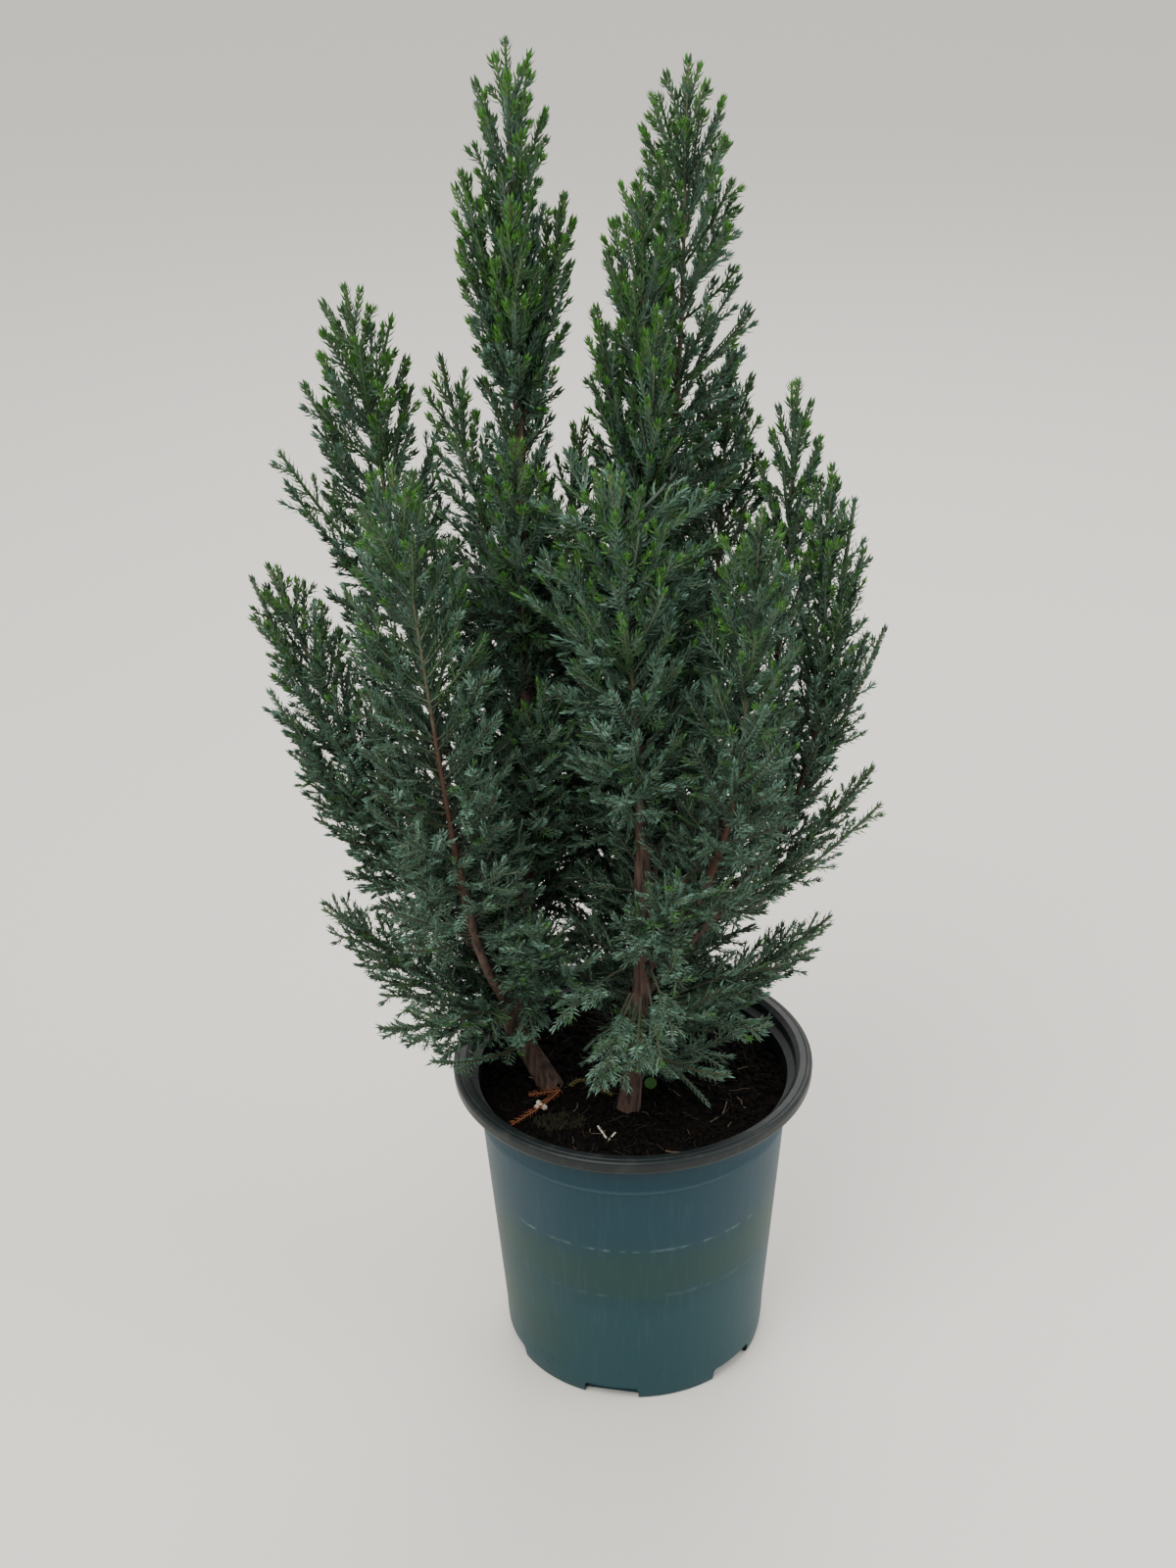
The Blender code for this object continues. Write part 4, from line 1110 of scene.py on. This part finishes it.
def addBranchlets(spray, path, freshness, depth, below):
    rng = spray.rng
    length = pathLength(path)
    chord = (path[-1] - path[0]).normalized()
    level = chord.cross(up).normalized() if abs(chord.z) < 0.98 else chord.orthogonal().normalized()
    level.rotate(Matrix.Rotation(rng.uniform(-1.0, 1.0), 3, chord))
    tight = tightness(path[-1].z)
    gap = between(growth["branchGap"], tight) if depth == 2 else growth["twigletGap"]
    count = int(length * 0.8 / gap)
    span = growth["branchSpan" if depth == 2 else "twigletSpan"]
    longest = min(growth["branchLongest"], between(growth["branchShare"], tight) * length)
    for number in range(count):
        share = between(span, (number + rng.uniform(0.3, 0.7)) / max(1, count))
        reach = longest * (1.15 - 0.75 * share) * rng.uniform(0.75, 1.2)
        if reach < growth["branchShortest"]:
            continue
        step = share * (len(path) - 1)
        index = min(int(step), len(path) - 2)
        root = path[index].lerp(path[index + 1], step - index)
        forward = (path[index + 1] - path[index]).normalized()
        side = level * (1 if number % 2 else -1)
        side.rotate(Matrix.Rotation(rng.uniform(-0.7, 0.7) + (1.5 if number % 5 == 4 else 0), 3, forward))
        angle = between(growth["branchAngle"], tightness(root.z)) * rng.uniform(*growth["angleVaries"])
        heading = forward * math.cos(angle) + side * math.sin(angle)
        bend = growth["branchBend"]
        middle = root + heading * reach * bend
        tip = middle + (heading + forward * bend).normalized() * reach * (1 - bend)
        branch = [root, middle, tip]
        tipwards = freshness * (0.25 + 0.9 * share)
        addShoot(spray, branch, growth["branchRadius"], 0.06, tipwards, below)
        if depth == 2 and reach > growth["forkedFrom"]:
            addBranchlets(spray, branch, tipwards, 1, below)


def waysAt(points, lengths, goals):
    index = np.clip(np.searchsorted(lengths, goals) - 1, 0, len(points) - 2)
    return unit(points[index + 1] - points[index])


def needleRows(base, forward, spin, lean, size, width, sign=1):
    # one row for each needle: foot, direction, outward way, length and width
    across = crossways(forward)
    radial = sign * (across * np.cos(spin)[:, None] + np.cross(forward, across) * np.sin(spin)[:, None])
    lean, size, width = (np.broadcast_to(value, len(base))[:, None] for value in (lean, size, width))
    direction = forward * np.cos(lean) + radial * np.sin(lean)
    return np.concatenate([base, direction, radial, size, width], axis=1)


def addShoot(spray, path, radius, bareShare, freshness, below):
    rng = spray.rng
    points = asArray(path)
    spray.twigs["old" if bareShare > 0.08 else "young"].append((points, radius))
    lengths = lengthsAlong(points)
    total = lengths[-1]
    first = total * bareShare
    tight = tightness(path[-1].z)
    count = max(2, int((total - first) / between(needles["pairGap"], tight)))
    goals = first + (total - first) * (np.arange(count) + rng.random() * 0.5) / count
    goals = np.concatenate([goals, total - np.array(needles["tipPairs"])])
    base, forward = placesAt(points, lengths, goals), waysAt(points, lengths, goals)
    nearTip = np.clip(1 - (total - goals) / needles["tipReach"], 0, 1)
    # every second pair faces up and down; on loose shoots it is short and lies close
    facing = np.arange(len(goals)) % 2
    lean = between(needles["lean"], tight) * (1 - facing) + between(needles["facingLean"], tight) * facing
    lean += (needles["tipLean"] - lean) * nearTip
    spin = facing * (math.pi / 2) + rng.uniform(-0.4, 0.4) + tight * rng.uniform(0, math.pi)
    size = between(needles["length"], tight) * (1 - 0.25 * nearTip) * rng.uniform(0.88, 1.12)
    size *= 1 - facing * (1 - between(needles["facingSize"], tight))
    tint = tipTint = pickTint(rng, base[-1], spray.dark, below)
    freshFrom = 1.0
    if rng.random() < freshness * 2.0:
        tipTint = "fresh" if rng.random() < 0.15 + 0.8 * freshness else "green"
        freshFrom = 1 - between(growth["freshLength"], freshness) / max(total, 0.0075)
    young = (goals - first) / max(total - first, 1e-9) >= freshFrom
    for sign in (1, -1):
        rows = needleRows(base, forward, spin, lean, size, between(needles["width"], tight), sign)
        spray.needles[tint].append(rows[~young])
        spray.needles[tipTint].append(rows[young])


def pickTint(rng, place, dark, below):
    tight = tightness(place[2])
    front = min(1.0, max(0.0, -place[1] / 0.05))
    luck = rng.random()
    # painted shade: shoots that sit behind the trunks take mostly the deep tint
    if dark:
        return "deep" if luck < 0.7 else "blue"
    if luck < 0.004 * (below > 0.06) * (tight < 0.4):
        return "brown"
    central = max(0.0, 1 - abs(place[0] + 0.006) / 0.026)
    if luck < 0.05 + front * (0.1 + 0.75 * (1 - tight) ** 3 * central):
        return "pale"
    if luck < 0.82 - 0.3 * tight ** 2 * math.exp(-(below / 0.08) ** 2):
        return "blue"
    return "deep" if rng.random() < 0.7 - 0.55 * tight else "green"


def needlePrototype():
    # a narrow blade folded along its middle: foot, two sides raised at the widest place, point
    bm = bmesh.new()
    corners = (0, 0, 0), (-0.5, 1, needles["widestAt"]), (0.5, 1, needles["widestAt"]), (0, 0, 1)
    foot, left, right, tip = [bm.verts.new(corner) for corner in corners]
    bm.faces.new((foot, tip, left))
    bm.faces.new((foot, right, tip))
    return arraysOf(bm)


def spikePrototype():
    # a three-sided spike for twigs, straws and fibres
    bm = bmesh.new()
    bmesh.ops.create_cone(bm, cap_ends=False, segments=3, radius1=1, radius2=0.85, depth=1)
    bmesh.ops.translate(bm, verts=bm.verts, vec=(0, 0, 0.5))
    return arraysOf(bm)


def joinedMesh(name, verts, faces, material):
    mesh = bpy.data.meshes.new(name)
    mesh.vertices.add(len(verts))
    mesh.vertices.foreach_set("co", verts.astype(np.float32).ravel())
    mesh.loops.add(faces.size)
    mesh.loops.foreach_set("vertex_index", faces.astype(np.int32).ravel())
    mesh.polygons.add(len(faces))
    mesh.polygons.foreach_set("loop_start", np.arange(0, faces.size, faces.shape[1], dtype=np.int32))
    mesh.update(calc_edges=True)
    mesh.materials.append(material)
    piece = bpy.data.objects.new(name, mesh)
    bpy.context.scene.collection.objects.link(piece)
    return piece


def spread(prototype, origins, *axes):
    # the prototype at every origin, on its own three axes, as one pair of arrays
    verts, faces = prototype
    placed = origins[:, None] + sum(verts[None, :, k, None] * axis[:, None] for k, axis in enumerate(axes))
    offsets = (np.arange(len(origins)) * len(verts))[:, None, None]
    return placed.reshape(-1, 3), (faces[None] + offsets).reshape(-1, 3)


def outsidePot(points):
    # nothing grows through the pot's wall and rim or into the soil
    radius = np.hypot(points[:, 0], points[:, 1])
    low = points[:, 2] < potHigh.z + 0.0008
    inner = bodyRadius(potHigh.z) - pot["wall"] - 0.0015
    wall = low & (radius > inner) & (radius < potHigh.x + 0.0005)
    return ~wall & (points[:, 2] > soil["level"] + 0.0003)


def makeNeedles(name, rows, material):
    base, direction, radial = rows[:, :3], rows[:, 3:6], rows[:, 6:9]
    size, width = rows[:, 9:10], rows[:, 10:]
    flat = unit(np.cross(direction, radial))
    keel = np.cross(flat, direction) * width * needles["keel"]
    blades = spread(needlePrototype(), base, flat * width, keel, direction * size)
    return joinedMesh(name, *blades, material)


def makeTwigs(name, twigs, material):
    starts = np.concatenate([points[:-1] for points, _ in twigs])
    along = np.concatenate([points[1:] for points, _ in twigs]) - starts
    radii = np.concatenate([np.full(len(points) - 1, radius) for points, radius in twigs])[:, None]
    across = crossways(unit(along))
    other = np.cross(unit(along), across)
    spikes = spread(spikePrototype(), starts, across * radii, other * radii, along * 1.03)
    return joinedMesh(name, *spikes, material)


def growSprig(spray, limbPath, height, tip):
    path = arcPath(atHeight(limbPath, height), Vector(tip), -growth["shootSag"], 8)[2:]
    addShoot(spray, path, growth["shootRadius"], 0.25, 0.1, 0.05)
    if tip[2] > growth["singleBelow"]:
        addBranchlets(spray, path, 0.1, 2, 0.05)


def growPlume(spray, limbPath, height, tip):
    path = arcPath(atHeight(limbPath, height), Vector(tip), growth["shootSag"], 10)
    addShoot(spray, path, 0.0006, 0.06, 0.3 * tightness(tip[2]) + 0.1, 0.03)
    addBranchlets(spray, path, 0.15, 2, 0.03)


def growRegion(region, masses, limbs):
    grown = [growMass(name, *mass[:3]) for name, mass in masses.items() if mass[3] == region]
    spray = Spray(f"{region}Sprigs")
    for grow, table in ((growSprig, sprigs), (growPlume, plumes)):
        for limb, shoots in table.get(region, {}).items():
            for height, *tip in shoots:
                grow(spray, limbs[limb][0], height, tip)
    grown.append(spray)
    if region in fillers:
        # the back fillers are tinted dark, as painted shade behind the trunks
        spray = Spray(f"{region}Fillers", dark=region == "back")
        for limb, *filling in fillers[region]:
            growFiller(spray, limbs[limb][0], *filling)
        grown.append(spray)
    return grown


def growFoliage(masses, limbs):
    shades = {age: plainMaterial(f"twig{age.title()}", *look) for age, look in twigLooks.items()}
    materials = {tint: plainMaterial(f"needle{tint.title()}", color, 0.5) for tint, color in tints.items()}
    total = 0
    for region in regions:
        grown = growRegion(region, masses, limbs)
        names = [name for name, mass in masses.items() if mass[3] == region]
        for age, shade in shades.items():
            twigs = [twig for spray in grown for twig in spray.twigs[age] if outsidePot(twig[0]).all()]
            piece = makeTwigs(f"{region}Twigs{age.title()}", twigs, shade)
            dress(piece, "foliage", *(names if age == "old" else []))
            total += len(piece.data.polygons)
        for tint, material in materials.items():
            groups = [rows for spray in grown for rows in spray.needles[tint]]
            rows = np.concatenate([np.empty((0, 11)), *groups])
            rows = rows[outsidePot(rows[:, :3]) & outsidePot(rows[:, :3] + rows[:, 3:6] * rows[:, 9:10])]
            if len(rows):
                piece = dress(makeNeedles(f"{region}Needles{tint.title()}", rows, material), "foliage")
                total += len(piece.data.polygons)
    print("foliage triangles:", total)


makeCamera()
makeStudio()
makePot()
print("pot made")
makeSoil()
print("soil made")
limbs = growLimbs(barkMaterial())
masses = massStems(limbs)
growStems(masses)
print("limbs grown")
growFoliage(masses, limbs)
print("foliage grown")
